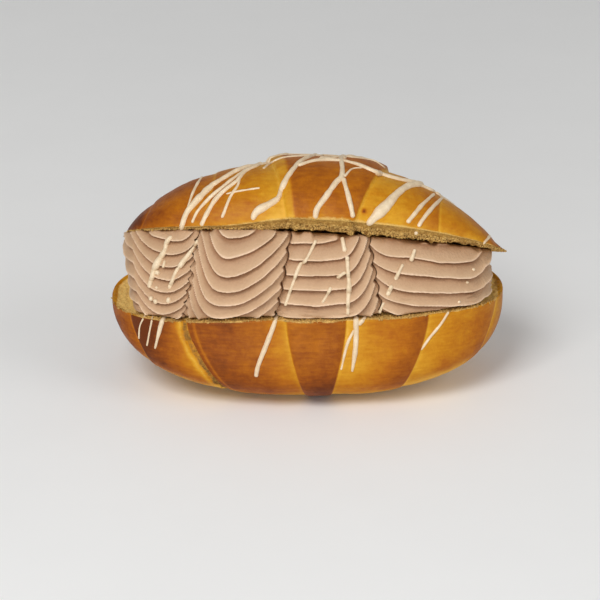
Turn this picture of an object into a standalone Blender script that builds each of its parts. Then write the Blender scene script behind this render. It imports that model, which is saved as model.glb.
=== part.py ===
"""A filled croissant, sliced open from the front and propped up by four piped swirls of cream.

Sizes are in metres, +X to the right, +Y to the back, +Z up, with the origin under the middle
of the croissant at the level that it stands on. Every shape is worked out from the sizes below.
"""

import math
from dataclasses import dataclass
from functools import partial

import bmesh
import bpy
import numpy as np
from mathutils import Matrix, Vector

MM = 0.001

# Moves the whole croissant, so that the middle of it lies over the origin
CENTRING = (-0.7 * MM, -1.9 * MM, 0)

# The clear space between two solids that lie against each other
GAP = 0.35 * MM

# The height at which the knife went through, and how far that cut dips at its left side and ends
CUT_HEIGHT = 40.5 * MM
CUT_DIP_LEFT = 3.6 * MM
CUT_DIP_ENDS = 2.5 * MM

# The way the lid sits: tipped open about the back edge of the cut, leaning and shifted to the right
LID_OPENING = math.radians(26.5)
LID_LEAN = math.radians(3.3)
LID_SHIFT = 3.0 * MM
LID_LIFT = 1.25 * MM
LID_TIP_DROOP = 2.2 * MM

# Where each wrap of rolled dough ends along X, from the left tip to the right one. On the base it
# is given at the front rim, the bottom and the back rim, on the lid at front, top and back.
BASE_SEAMS = (
    (-71 * MM, -58 * MM, -66 * MM),
    (-48 * MM, -25 * MM, -46 * MM),
    (-8 * MM, -1 * MM, -18 * MM),
    (15 * MM, 11 * MM, 28 * MM),
    (48 * MM, 36 * MM, 54 * MM),
    (76 * MM, 66 * MM, 72 * MM),
)
LID_SEAMS = (
    (-71 * MM, -66 * MM, -68 * MM),
    (-46 * MM, -42 * MM, -48 * MM),
    (-12.5 * MM, -21.5 * MM, -20 * MM),
    (12 * MM, 27 * MM, 26 * MM),
    (47 * MM, 49 * MM, 52 * MM),
    (74 * MM, 70 * MM, 72 * MM),
)
MIDDLE_WRAP = 3
# The wraps' edges fade out over this turn before the back edge, where lid and base meet
HINGE_FADE = 0.35
SEAM_WIDTH = 0.8 * MM

GIRTH_STEPS = 21
CUT_STEPS = 5
TIP_STATIONS = (0.0, 0.3, 0.58, 0.8, 0.94, 0.99)
SIDE_STATIONS = (0.0, 0.14, 0.4, 0.66, 0.87, 1.0)
MIDDLE_STATIONS = (0.0, 0.1, 0.3, 0.7, 0.9, 1.0)


@dataclass
class Half:
    """The sizes of one half of the croissant, as it lies before the lid is tipped open."""

    half_length: float
    half_depth: float
    taper: float
    fullness_left: float
    fullness_right: float
    squareness: float
    # How far the edge of each wrap stands above the next one, from left to right
    relief: tuple
    seams: tuple


BASE_RELIEF = tuple(share * 1.3 * MM for share in (0.4, 0.8, 0.9, 1.0, 0.9, 0.8, 0.4))
BASE = Half(80 * MM, 38 * MM, 2.3, 0.40, 0.46, 3.4, BASE_RELIEF, BASE_SEAMS)
BASE_BULGE = 0.14
# The keel curves up to the tips, more at the left
KEEL_CURVE = 2.4
KEEL_RISE_LEFT = 0.50
KEEL_RISE_RIGHT = 0.42
# The underside is flattened where the base would reach below the surface that it stands on
BASE_SUNK = 0.5 * MM
BASE_TIP_HEIGHT = 35 * MM

LID_RELIEF = tuple(height * MM for height in (0.9, 1.0, 0.5, 3.3, 0.4, 1.6, 0.8))
LID = Half(77.5 * MM, 38 * MM, 2.2, 0.50, 0.55, 2.3, LID_RELIEF, LID_SEAMS)
LID_HEIGHT = 29.8 * MM
# How the lid's height falls towards its tips: the left one is pointed, the right one is blunt
LID_TAPER_RIGHT = 2.8
LID_FALL_LEFT = 0.74
LID_FALL_RIGHT = 1.3
# The strip of crumb that shows along the lid's front edge, narrow at the left
CRUMB_STRIP = 4.8 * MM
CRUMB_STRIP_LEFT = 1.2 * MM
CRUMB_STRIP_DEPTH = 3.6 * MM


# The sides of the piped swirls from left to right: where each is along X at the height of the cut,
# and how far it leans to the right for each metre up. Neighbours share a side.
SWIRL_SIDES = (
    (-69.5 * MM, -0.12), (-49.5 * MM, 0.18), (-13 * MM, 0.18), (29.7 * MM, -0.18), (72.5 * MM, 0.0),
)
# The height over which a side's lean is spread
LEAN_HEIGHT = 32 * MM


@dataclass
class Swirl:
    """One piped swirl: how it bulges, and how the lips of its layers run across its front."""

    name: str
    left: tuple
    right: tuple
    bulge: float
    # How far its top stays below the lid's front edge
    top_drop: float
    lip_spacing: float
    # Height of the lowest lip above the cut, and how much the lips rise for each metre to the right
    first_lip: float
    slope: float
    # How far the lips curl up at either side, and over what width
    curl_left: float
    curl_left_width: float
    curl_right: float
    curl_right_width: float


SWIRLS = tuple(
    Swirl(f"cream_swirl_{number + 1}", *SWIRL_SIDES[number:number + 2], *sizes)
    for number, sizes in enumerate((
        (2.5 * MM, 0.2 * MM, 4.8 * MM, -2.1 * MM, 0.05, 5 * MM, 9 * MM, 4 * MM, 9 * MM),
        (6.0 * MM, 0.2 * MM, 6.4 * MM, -0.3 * MM, 0.0, 9 * MM, 11.5 * MM, 14 * MM, 25 * MM),
        (3.2 * MM, 1.0 * MM, 6.05 * MM, 0.3 * MM, 0.04, 0.0, 1 * MM, 10 * MM, 14 * MM),
        (2.2 * MM, 2.4 * MM, 6.1 * MM, 1.6 * MM, -0.07, 2 * MM, 9 * MM, 3 * MM, 9 * MM),
    ))
)
SWIRL_SQUARENESS = 5.5
LIP_DEPTH = 2.2 * MM
# How a layer stands out, as shares: from its lip, 0, up to the lip above it, 1
LAYER_STEPS = (0.0, 0.3, 0.85, 1.0)
LAYER_REACH = (1.0, 0.5, 0.0, 1.0)
# How far a swirl would reach past its sides, if its neighbours weren't there
SIDE_OVERLAP = 1.8 * MM
# How far the cream's front stays inside the base's rim and the lid's edge, and its back inside the rim
INSET_BELOW = 0.2 * MM
INSET_ABOVE = 0.6 * MM
BACK_INSET = 1.8 * MM
CREAM_BACK_EDGE = 27 * MM
# How far behind its front edge a swirl's top comes up to the lid
DROP_WIDTH = 12 * MM
# How sharp a swirl's lower and upper edges are
ROUNDING_BELOW = 22.0
ROUNDING_ABOVE = 28.0
FRONT_SIDES = 17
BACK_SIDES = 6
FLOOR_RINGS = (0.35, 0.75)


@dataclass
class Strand:
    """A strand of icing: its width, and the places where it starts, passes and ends.

    A place is X and, on the lid, the share of the way over the crust from its front edge; on the
    base, how far below the rim; on the cream, the share of the way up from the base to the lid.
    """

    width: float
    start: tuple
    middle: tuple
    end: tuple


LID_STRANDS = (
    Strand(2.9 * MM, (-24 * MM, 0.38), (-43 * MM, 0.23), (-56 * MM, 0.0)),
    Strand(1.6 * MM, (-30 * MM, 0.36), (-41 * MM, 0.18), (-51 * MM, 0.03)),
    Strand(2.3 * MM, (-25 * MM, 0.34), (-36 * MM, 0.19), (-47 * MM, 0.02)),
    Strand(2.9 * MM, (6 * MM, 0.47), (-5 * MM, 0.22), (-17 * MM, 0.02)),
    Strand(2.4 * MM, (1 * MM, 0.36), (24 * MM, 0.38), (51 * MM, 0.42)),
    Strand(2.4 * MM, (18 * MM, 0.51), (17.2 * MM, 0.3), (7.5 * MM, 0.05)),
    Strand(2.1 * MM, (17 * MM, 0.3), (19 * MM, 0.18), (22.5 * MM, 0.04)),
    Strand(4.2 * MM, (51 * MM, 0.42), (40 * MM, 0.2), (29 * MM, 0.01)),
    Strand(1.7 * MM, (54 * MM, 0.32), (49 * MM, 0.17), (44 * MM, 0.03)),
    Strand(1.7 * MM, (58 * MM, 0.34), (53 * MM, 0.17), (48.5 * MM, 0.03)),
)
BASE_STRANDS = (
    Strand(2.1 * MM, (-56 * MM, 1.5 * MM), (-59 * MM, 6 * MM), (-61.5 * MM, 13 * MM)),
    Strand(2.4 * MM, (-12.5 * MM, 1.5 * MM), (-16 * MM, 12 * MM), (-20.5 * MM, 25 * MM)),
    Strand(2.4 * MM, (19 * MM, 1.5 * MM), (19.5 * MM, 11 * MM), (18 * MM, 23 * MM)),
)
# The swirl that each of these strands lies on comes first
CREAM_STRANDS = (
    (0, Strand(2.8 * MM, (-56 * MM, 0.88), (-60 * MM, 0.6), (-64 * MM, 0.32))),
    (0, Strand(2.3 * MM, (-50.5 * MM, 0.66), (-53 * MM, 0.5), (-55.5 * MM, 0.33))),
    (2, Strand(1.7 * MM, (3.5 * MM, 0.9), (-2 * MM, 0.58), (-7.5 * MM, 0.14))),
    (2, Strand(1.9 * MM, (14.5 * MM, 0.9), (16.5 * MM, 0.5), (17 * MM, 0.08))),
)
STRAND_POINTS = 8
STRAND_SIDES = 6
STRAND_RISE = 0.45
STRAND_SUNK = 1.4 * MM

# The colour and roughness of baked crust and of truffle cream
CRUST = (0.56, 0.26, 0.06), 0.5
CREAM = (0.6, 0.42, 0.32), 0.6


def smooth_step(value):
    """0 below 0, 1 above 1, and a smooth change between."""
    share = np.clip(value, 0, 1)
    return share * share * (3 - 2 * share)


def seam_x(seam, turn):
    """Where a seam lies along X. turn goes from 0 at the front to half a circle at the back."""
    front, middle, back = seam
    mean = (front + back) / 2
    return mean + (front - back) / 2 * np.cos(turn) + (middle - mean) * np.sin(turn)


def cut_height(x):
    """Height of the cut through the base."""
    dip = CUT_DIP_LEFT * smooth_step((-x - 15 * MM) / (45 * MM))
    ends = CUT_DIP_ENDS * np.clip(np.abs(x) / BASE.half_length, 0, 1) ** 6
    return CUT_HEIGHT - dip - ends


def along(half, x):
    """Distance from the middle as a share of the half length."""
    return np.clip(np.abs(x) / half.half_length, 0, 1)


def half_depth(half, x):
    fullness = np.where(x < 0, half.fullness_left, half.fullness_right)
    return half.half_depth * (1 - along(half, x) ** half.taper) ** fullness


def power(value, exponent):
    return np.sign(value) * np.abs(value) ** exponent


def base_point(x, turn, relief):
    """A point of the base's crust. turn is 0 at the front rim, half a circle at the back rim."""
    relief = relief * np.clip((math.pi - turn) / HINGE_FADE, 0, 1)
    rim = cut_height(x)
    steepness = np.where(x < 0, KEEL_RISE_LEFT, KEEL_RISE_RIGHT)
    rise = 1 - (1 - along(BASE, x) ** KEEL_CURVE) ** steepness
    bottom = (BASE_TIP_HEIGHT + BASE_SUNK) * rise - BASE_SUNK
    exponent = 2 / BASE.squareness
    bulge = 1 + BASE_BULGE * np.abs(np.sin(2 * turn))
    y = -half_depth(BASE, x) * power(np.cos(turn), exponent) * bulge
    z = -(rim - bottom) * power(np.sin(turn), exponent)
    reach = np.hypot(y, z) + 1e-9
    relief = relief * (1 - 0.7 * smooth_step((np.sin(turn) - 0.5) / 0.5))
    y, z = y * (1 + relief / reach), z * (1 + relief / reach)
    return np.stack([x, y, np.maximum(rim + z, 0)], axis=-1)


def lid_floor(x):
    """Height of the lid's cut face above its own flat plane, which droops at the tips."""
    return -LID_TIP_DROOP * along(LID, x) ** 2


def crumb_strip(x):
    wide = smooth_step((x + 42 * MM) / (34 * MM))
    strip = CRUMB_STRIP_LEFT + (CRUMB_STRIP - CRUMB_STRIP_LEFT) * wide
    return strip * (1 - along(LID, x) ** 2.5)


def lid_point(x, turn, relief):
    """A point of the lid's crust before it is tipped open. turn is 0 at the front edge."""
    relief = relief * np.clip((math.pi - turn) / HINGE_FADE, 0, 1)
    fall = np.where(x < 0, LID_FALL_LEFT, LID_FALL_RIGHT)
    taper = np.where(x < 0, LID.taper, LID_TAPER_RIGHT)
    height = LID_HEIGHT * (1 - along(LID, x) ** taper) ** fall
    exponent = 2 / LID.squareness
    y = -half_depth(LID, x) * power(np.cos(turn), exponent)
    z = height * power(np.sin(turn), exponent)
    lifted = crumb_strip(x) * np.clip(np.cos(turn), 0, 1) ** 6
    reach = np.hypot(y, z) + 1e-9
    y, z = y * (1 + relief / reach), z * (1 + relief / reach)
    return np.stack([x, y, lid_floor(x) + np.maximum(z, lifted)], axis=-1)


def lid_matrix():
    """Tips the lid open about the back edge of the cut, then leans it to the right."""
    hinge = Vector((0, LID.half_depth, CUT_HEIGHT + LID_LIFT))
    tip_open = Matrix.Rotation(-LID_OPENING, 4, "X")
    lean = Matrix.Rotation(LID_LEAN, 4, "Y")
    to_hinge = Matrix.Translation((0, -LID.half_depth, 0))
    return Matrix.Translation(hinge + Vector((LID_SHIFT, 0, 0))) @ lean @ tip_open @ to_hinge


def wrap_relief(half, wrap, place):
    """Relief at a place in a wrap, from 0 at its left edge to 1 at its right edge.

    A wrap swells from the edge nearer the middle to its outer edge, where it rolls over.
    """
    if wrap < MIDDLE_WRAP:
        place = 1 - place
    elif wrap == MIDDLE_WRAP:
        place = np.maximum(place, 1 - place)
    swell = 1 - (1 - np.clip(place / 0.8, 0, 1)) ** 2
    roll_over = 0.3 * np.clip((place - 0.86) / 0.14, 0, 1) ** 2
    fade = 1 - place if wrap in (0, len(half.seams)) else 1
    return half.relief[wrap] * (swell - roll_over) * fade


def wrap_edges(half, wrap, turn):
    """Where a wrap starts and ends along X."""
    tip = np.full_like(turn, half.half_length)
    left = seam_x(half.seams[wrap - 1], turn) if wrap > 0 else -tip
    right = seam_x(half.seams[wrap], turn) if wrap < len(half.seams) else tip
    if wrap > MIDDLE_WRAP:
        left = left + SEAM_WIDTH
    if wrap < MIDDLE_WRAP:
        right = right - SEAM_WIDTH
    return left, right


def stations(half):
    """The rings of the half's crust from tip to tip, as (wrap, place)."""
    last = len(half.seams)
    rings = []
    for wrap in range(last + 1):
        places = TIP_STATIONS if wrap in (0, last) else SIDE_STATIONS
        if wrap == MIDDLE_WRAP:
            places = MIDDLE_STATIONS
        if wrap < MIDDLE_WRAP:
            places = [1 - place for place in reversed(places)]
        rings += [(wrap, place) for place in places]
    return rings


def crust_rings(half, point_of):
    """Rings of points of the half's crust, from the front edge over to the back edge."""
    turn = np.linspace(0, math.pi, GIRTH_STEPS)
    for wrap, place in stations(half):
        left, right = wrap_edges(half, wrap, turn)
        yield point_of(left + (right - left) * place, turn, wrap_relief(half, wrap, place))


def relief_at(half, x, turn):
    """Relief of the crust at any place on it."""
    seams = [float(seam_x(seam, turn)) for seam in half.seams]
    wrap = sum(x > seam for seam in seams)
    left, right = wrap_edges(half, wrap, np.array(turn))
    return wrap_relief(half, wrap, float(np.clip((x - left) / (right - left), 0, 1)))


def closed_mesh(name, rings, first_pole, last_pole):
    """A closed mesh from rings of points, with a pole at each end."""
    mesh = bmesh.new()
    rows = [[mesh.verts.new(point) for point in ring] for ring in rings]
    poles = mesh.verts.new(first_pole), mesh.verts.new(last_pole)
    count = len(rows[0])
    for near, far in zip(rows, rows[1:]):
        for i in range(count):
            j = (i + 1) % count
            mesh.faces.new((near[i], near[j], far[j], far[i]))
    for i in range(count):
        j = (i + 1) % count
        mesh.faces.new((poles[0], rows[0][j], rows[0][i]))
        mesh.faces.new((poles[1], rows[-1][i], rows[-1][j]))
    bmesh.ops.recalc_face_normals(mesh, faces=mesh.faces)
    data = bpy.data.meshes.new(name)
    mesh.to_mesh(data)
    mesh.free()
    return data


def base_mesh():
    rings = []
    for crust in crust_rings(BASE, base_point):
        share = np.linspace(0, 1, CUT_STEPS + 1)[1:-1, None]
        cut = crust[-1] + (crust[0] - crust[-1]) * share
        cut[:, 2] = cut_height(cut[:, 0])
        rings.append(np.concatenate([crust, cut]))
    tip = Vector((BASE.half_length, 0, BASE_TIP_HEIGHT))
    return closed_mesh("base", rings, (-tip.x, 0, tip.z), tip)


def lid_mesh():
    rings = []
    for crust in crust_rings(LID, lid_point):
        front = crust[0] + (crust[-1] - crust[0]) * CRUMB_STRIP_DEPTH / (2 * LID.half_depth)
        share = np.linspace(0, 1, CUT_STEPS + 1)[1:, None]
        cut = crust[-1] + (front - crust[-1]) * share
        cut[:, 2] = lid_floor(cut[:, 0])
        rings.append(np.concatenate([crust, cut]))
    tip = Vector((LID.half_length, 0, lid_floor(LID.half_length)))
    return closed_mesh("lid", rings, (-tip.x, 0, tip.z), tip)


def under_lid(x, y):
    """Height of the lid's cut face above the point (x, y), as it lies tipped open."""
    matrix = lid_matrix()
    origin, up = matrix.translation, matrix.to_3x3() @ Vector((0, 0, 1))
    plane = origin.z - ((x - origin.x) * up.x + (y - origin.y) * up.y) / up.z
    return plane + lid_floor(x - LID_SHIFT) / up.z


def lid_front(x):
    """Y of the lid's front edge above the base, as it lies tipped open."""
    reach = LID.half_depth + half_depth(LID, x - LID_SHIFT)
    return LID.half_depth - reach * math.cos(LID_OPENING)


def side_x(side, height):
    """Where a side of a swirl is along X, at a share of the way from the base to the lid."""
    x, lean = side
    return x + lean * LEAN_HEIGHT * height


def swirl_surface(swirl, turn, radius, height):
    """A point of the swirl without lips. turn goes round it, with a quarter turn at the front.

    radius is the distance from its middle and height the share of the way from base to lid.
    """
    exponent = 2 / SWIRL_SQUARENESS
    left, right = side_x(swirl.left, height), side_x(swirl.right, height)
    half_width = (right - left) / 2 + SIDE_OVERLAP
    x = (left + right) / 2 + half_width * radius * power(np.cos(turn), exponent)
    inside = np.clip(x, -BASE.half_length + 3 * MM, BASE.half_length - 3 * MM)
    low_front = -half_depth(BASE, inside) + INSET_BELOW
    high_front = lid_front(inside) + INSET_ABOVE
    front = low_front + (high_front - low_front) * height - swirl.bulge * 4 * height * (1 - height)
    back = np.minimum(half_depth(BASE, inside) - BACK_INSET, CREAM_BACK_EDGE)
    across = -radius * power(np.sin(turn), exponent)
    y = (front + back) / 2 + (back - front) / 2 * across
    low = cut_height(x) + GAP
    drop = swirl.top_drop * smooth_step(1 - (y - high_front) / DROP_WIDTH)
    high = under_lid(x, y) - 2 * GAP - drop
    return np.stack([x, y, low + (high - low) * height], axis=-1)


def lips_below(swirl, points):
    """How many lips lie below each point: a whole number on a lip."""
    from_left = (points[..., 0] - swirl.left[0]) / swirl.curl_left_width
    from_right = (swirl.right[0] - points[..., 0]) / swirl.curl_right_width
    curl = swirl.curl_left * np.clip(1 - from_left, 0, None) ** 2
    curl = curl + swirl.curl_right * np.clip(1 - from_right, 0, None) ** 2
    rise = points[..., 2] - CUT_HEIGHT - swirl.first_lip
    return (rise - swirl.slope * (points[..., 0] - swirl.left[0]) - curl) / swirl.lip_spacing


def swirl_column(swirl, turn, wanted):
    """The points of one upright line of the swirl, at the given counts of lips."""
    height = np.linspace(0, 1, 241)
    rounding = np.where(height < 0.5, ROUNDING_BELOW, ROUNDING_ABOVE)
    radius = (1 - np.abs(2 * height - 1) ** rounding) ** (1 / rounding)
    line = swirl_surface(swirl, np.full_like(height, turn), radius, height)
    length = np.append(0, np.cumsum(np.linalg.norm(np.diff(line, axis=0), axis=1)))
    wall = radius > 0.9
    count = lips_below(swirl, line)
    at = np.interp(wanted, count[wall], length[wall])
    evenly = np.linspace(length[wall][0], length[wall][-1], len(at))
    at = at * 0.985 + evenly * 0.015
    lower, upper = height < 0.5, height > 0.5
    floor = np.interp(FLOOR_RINGS, radius[lower], length[lower])
    ceiling = np.interp(FLOOR_RINGS, radius[upper][::-1], length[upper][::-1])
    at = np.concatenate([floor, at, ceiling[::-1]])
    points = np.stack([np.interp(at, length, line[:, i]) for i in range(3)], axis=-1)
    fade = smooth_step((np.interp(at, length, radius) - 0.86) / 0.1)
    return points, np.interp(at, length, count), fade


def swirl_turns():
    """Turns that spread the columns evenly over the front and round the back."""
    front = np.linspace(0, math.pi, FRONT_SIDES)
    back = np.linspace(math.pi, 2 * math.pi, BACK_SIDES + 2)[1:-1]
    angle = np.concatenate([front, back])
    steep = SWIRL_SQUARENESS / 2
    return np.arctan2(power(np.sin(angle), steep), power(np.cos(angle), steep))


def swirl_rings(swirl):
    """The swirl's rings, the lips of its layers standing out from the smooth form."""
    turns = swirl_turns()
    rim = np.ones_like(turns)
    highest = lips_below(swirl, swirl_surface(swirl, turns, rim, 1.0)).max()
    lowest = lips_below(swirl, swirl_surface(swirl, turns, rim, 0.0)).min()
    counts = range(math.floor(lowest), math.ceil(highest))
    wanted = np.array([count + step for count in counts for step in LAYER_STEPS[:-1]])
    columns = [swirl_column(swirl, turn, wanted) for turn in turns]
    rings, count, fade = (np.stack(part, axis=1) for part in zip(*columns))
    away = np.stack([np.cos(turns), -np.sin(turns), np.zeros_like(turns)], axis=-1)
    reach = np.interp(count % 1, LAYER_STEPS, LAYER_REACH)
    rings = rings + away * ((reach - 0.5) * LIP_DEPTH * fade)[..., None]
    left, right = (x + lean * (rings[..., 2] - CUT_HEIGHT) for x, lean in (swirl.left, swirl.right))
    if swirl.left != SWIRL_SIDES[0]:
        rings[..., 0] = np.maximum(rings[..., 0], left + GAP / 2)
    if swirl.right != SWIRL_SIDES[-1]:
        rings[..., 0] = np.minimum(rings[..., 0], right - GAP / 2)
    return rings


def lid_surface(x, share):
    turn = np.array(share * math.pi)
    x = np.array(x - LID_SHIFT)
    point = lid_point(x, turn, relief_at(LID, x, turn))
    return lid_matrix() @ Vector(point)


def base_surface(x, drop):
    x = np.array(x)
    height = base_point(x, np.array(0.0), 0)[2] - base_point(x, np.array(math.pi / 2), 0)[2]
    turn = np.arcsin(np.clip(drop / height, 0, 1) ** (BASE.squareness / 2))
    return Vector(base_point(x, turn, relief_at(BASE, x, turn)))


def cream_surface(swirl, x, height):
    """A point over the lips of the swirl, at its front."""
    left, right = side_x(swirl.left, height), side_x(swirl.right, height)
    share = (x - (left + right) / 2) / ((right - left) / 2 + SIDE_OVERLAP)
    turn = math.acos(power(np.clip(share, -0.98, 0.98), SWIRL_SQUARENESS / 2))
    point = swirl_surface(swirl, turn, 1.0, height)
    return Vector(point) + Vector((0, -LIP_DEPTH / 2, 0))


def strand_mesh(name, strand, surface):
    """A strand that follows a surface, rounded on top, sunk into it below and round at its ends."""
    small = 0.01
    centre = Vector((0, 0, CUT_HEIGHT))
    rings = []
    start, middle, end = (np.array(place) for place in (strand.start, strand.middle, strand.end))
    bend = 2 * middle - (start + end) / 2

    def place_at(share):
        return start * (1 - share) ** 2 + bend * 2 * share * (1 - share) + end * share**2

    for i in range(STRAND_POINTS):
        share = i / (STRAND_POINTS - 1)
        x, other = place_at(share)
        point = surface(x, other)
        tangent = surface(*place_at(share + small)) - surface(*place_at(share - small))
        tangent.normalize()
        across = surface(x + 2 * MM, other) - surface(x - 2 * MM, other)
        step = small * abs(start[1] - end[1])
        over = surface(x, other + step) - surface(x, other - step)
        normal = across.cross(over).normalized()
        if normal.dot(point - centre) < 0:
            normal.negate()
        side = tangent.cross(normal).normalized()
        half = strand.width / 2 * (0.6 if i in (0, STRAND_POINTS - 1) else 1)
        rise = strand.width * STRAND_RISE
        ring = []
        for k in range(STRAND_SIDES):
            angle = 2 * math.pi * (k + 0.5) / STRAND_SIDES
            lift = rise if math.sin(angle) > 0 else rise + STRAND_SUNK
            along_side, along_normal = half * math.cos(angle), lift * math.sin(angle)
            ring.append(point + side * along_side * 1.1 + normal * along_normal)
        rings.append(ring)
        if i == 0:
            first = point - tangent * half * 0.7
        last = point + tangent * half * 0.7
    return closed_mesh(name, rings, first, last)


def join_strands(solid, meshes):
    """Fuses the strands with the solid that they lie on."""
    group = bpy.data.collections.new("strands")
    for mesh in meshes:
        group.objects.link(bpy.data.objects.new(mesh.name, mesh))
    union = solid.modifiers.new("strands", "BOOLEAN")
    union.operation = "UNION"
    union.operand_type = "COLLECTION"
    union.collection = group
    # EXACT leaves slivers where a strand crosses a lip
    union.solver = "MANIFOLD"
    bpy.context.view_layer.update()
    graph = bpy.context.evaluated_depsgraph_get()
    joined = bpy.data.meshes.new_from_object(solid.evaluated_get(graph))
    solid.modifiers.clear()
    solid.data = joined
    for strand in list(group.objects):
        bpy.data.objects.remove(strand)
    bpy.data.collections.remove(group)


def new_material(name, colour, roughness):
    material = bpy.data.materials.new(name)
    material.use_nodes = True
    shader = material.node_tree.nodes["Principled BSDF"]
    shader.inputs["Base Color"].default_value = (*colour, 1)
    shader.inputs["Roughness"].default_value = roughness
    return material


def new_object(name, data, colour, roughness):
    data.materials.append(new_material(name, colour, roughness))
    data.shade_smooth()
    data.set_sharp_from_angle(angle=math.radians(40))
    made = bpy.data.objects.new(name, data)
    bpy.context.scene.collection.objects.link(made)
    return made


def main():
    for old in list(bpy.data.objects):
        bpy.data.objects.remove(old)
    base = new_object("bottom_half", base_mesh(), *CRUST)
    lid_data = lid_mesh()
    lid_data.transform(lid_matrix())
    lid = new_object("top_half", lid_data, *CRUST)
    join_strands(base, [strand_mesh("strand", s, base_surface) for s in BASE_STRANDS])
    join_strands(lid, [strand_mesh("strand", s, lid_surface) for s in LID_STRANDS])
    for number, swirl in enumerate(SWIRLS):
        rings = swirl_rings(swirl)
        poles = rings[0].mean(axis=0), rings[-1].mean(axis=0)
        made = new_object(swirl.name, closed_mesh(swirl.name, rings, *poles), *CREAM)
        over_crests = partial(cream_surface, swirl)
        strands = [s for place, s in CREAM_STRANDS if place == number]
        if strands:
            join_strands(made, [strand_mesh("strand", s, over_crests) for s in strands])
    for made in bpy.context.scene.objects:
        made.location = CENTRING


main()
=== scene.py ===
# %% [markdown]
# A filled croissant, from its frame to its finish
# The real one is a brioche-like croissant that was sliced from the front, propped open with four
# piped swirls of truffle cream and laced with icing. The frame holds the plain solids at their true
# size. Each step here makes one of the finished pieces over its own solid, in metres, +Z up.

# %% Load the frame
import math
from dataclasses import dataclass

import bpy
import numpy as np
from mathutils import Matrix, Vector
from mathutils.bvhtree import BVHTree


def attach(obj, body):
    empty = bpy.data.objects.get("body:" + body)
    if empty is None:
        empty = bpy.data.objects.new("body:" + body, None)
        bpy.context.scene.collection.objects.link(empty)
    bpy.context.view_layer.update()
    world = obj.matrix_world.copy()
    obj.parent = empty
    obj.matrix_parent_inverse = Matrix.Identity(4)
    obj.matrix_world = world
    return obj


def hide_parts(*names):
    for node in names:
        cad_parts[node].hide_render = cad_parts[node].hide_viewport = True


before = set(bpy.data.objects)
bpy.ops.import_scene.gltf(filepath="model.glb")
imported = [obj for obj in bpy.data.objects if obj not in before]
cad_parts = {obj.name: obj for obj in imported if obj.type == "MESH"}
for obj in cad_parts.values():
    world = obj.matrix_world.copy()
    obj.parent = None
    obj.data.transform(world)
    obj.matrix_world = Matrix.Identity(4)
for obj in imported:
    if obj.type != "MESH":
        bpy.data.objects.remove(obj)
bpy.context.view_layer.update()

MM = 0.001

# %% [markdown]
# The camera
# It comes first, because the icing is laid out later along the lines on which the camera sees it.
# The picture was taken from straight in front and 25 degrees up with a long lens. A long lens far
# away keeps both tips of the croissant at nearly the same scale.

# %% Place the camera
PICTURE_SIZE = 600
CAMERA_ELEVATION = math.radians(25)
CAMERA_DISTANCE = 1.328
CAMERA_TARGET = Vector((-3.77, -1.9, 31.8)) * MM
FIELD_OF_VIEW = math.radians(10.6)
SENSOR_WIDTH = 36


def linked(name, data):
    """A new object in the scene, at the origin."""
    made = bpy.data.objects.new(name, data)
    bpy.context.scene.collection.objects.link(made)
    return made


lens = bpy.data.cameras.new("camera")
lens.sensor_width = SENSOR_WIDTH
lens.lens = SENSOR_WIDTH / 2 / math.tan(FIELD_OF_VIEW / 2)
camera = linked("camera", lens)
towards = Vector((0, -math.cos(CAMERA_ELEVATION), math.sin(CAMERA_ELEVATION)))
camera.matrix_world = (
    Matrix.Translation(CAMERA_TARGET + towards * CAMERA_DISTANCE)
    @ Matrix.Rotation(math.pi / 2 - CAMERA_ELEVATION, 4, "X")
)
bpy.context.scene.camera = camera
PIXEL = 2 * CAMERA_DISTANCE * math.tan(FIELD_OF_VIEW / 2) / PICTURE_SIZE
print(f"lens {lens.lens:.0f} mm, one pixel is {PIXEL / MM:.2f} mm at the croissant")


def sight_line(across, down):
    """The camera's place and the direction in which it sees a point of the picture, in pixels."""
    half = PICTURE_SIZE / 2
    slope = math.tan(FIELD_OF_VIEW / 2)
    ray = Vector(((across - half) / half * slope, (half - down) / half * slope, -1))
    return camera.matrix_world.translation, (camera.matrix_world.to_3x3() @ ray).normalized()


# %% [markdown]
# The form of the dough
# A croissant is a triangle of dough rolled up, so its crust is a row of wraps that overlap like
# sleeves, the middle one on top. It could be sculpted, but a rule is easier to read and to change:
# each half is a row of rings. A ring has a place in a wrap, and a turn over the crust from the
# front edge to the back. The rings lean with the seams between the wraps. The frame's solids follow
# the same rule with fewer rings, so the fine crust lies where the solid is.

# %% Sizes of the two halves
CENTRING = np.array((-0.7, -1.9, 0)) * MM
GAP = 0.35 * MM
CUT_HEIGHT = 40.5 * MM
CUT_DIP_LEFT = 3.6 * MM
CUT_DIP_STARTS = -15 * MM
CUT_DIP_LENGTH = 45 * MM
CUT_DIP_ENDS = 2.5 * MM
LID_OPENING = math.radians(26.5)
LID_LEAN = math.radians(3.3)
LID_SHIFT = 3.0 * MM
LID_LIFT = 1.25 * MM
LID_TIP_DROOP = 2.2 * MM
# Where each wrap ends along X in mm: on the base at front rim, bottom and back rim, on the lid at
# front, top and back
BASE_SEAMS = (
    (-71, -58, -66), (-48, -25, -46), (-8, -1, -18), (15, 11, 28), (48, 36, 54), (76, 66, 72),
)
LID_SEAMS = (
    (-71, -66, -68), (-46, -42, -48), (-12.5, -21.5, -20), (12, 27, 26), (47, 49, 52), (74, 70, 72),
)
MIDDLE_WRAP = 3
HINGE_FADE = 0.35
SEAM_WIDTH = 0.8 * MM
# Where a wrap is thickest and where it starts to roll over, as shares of its width, and how far it
# rolls over as a share of its relief
THICKEST_PLACE = 0.8
ROLL_PLACE = 0.86
ROLL_OVER = 0.3
# Turns below this are on the front
FRONT_TURN = 1


@dataclass
class Half:
    """The sizes of one half of the croissant, as it lies before the lid is tipped open."""

    half_length: float
    half_depth: float
    taper: float
    fullness_left: float
    fullness_right: float
    squareness: float
    # How far each wrap's edge stands out, in mm
    relief: tuple
    seams: tuple


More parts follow.
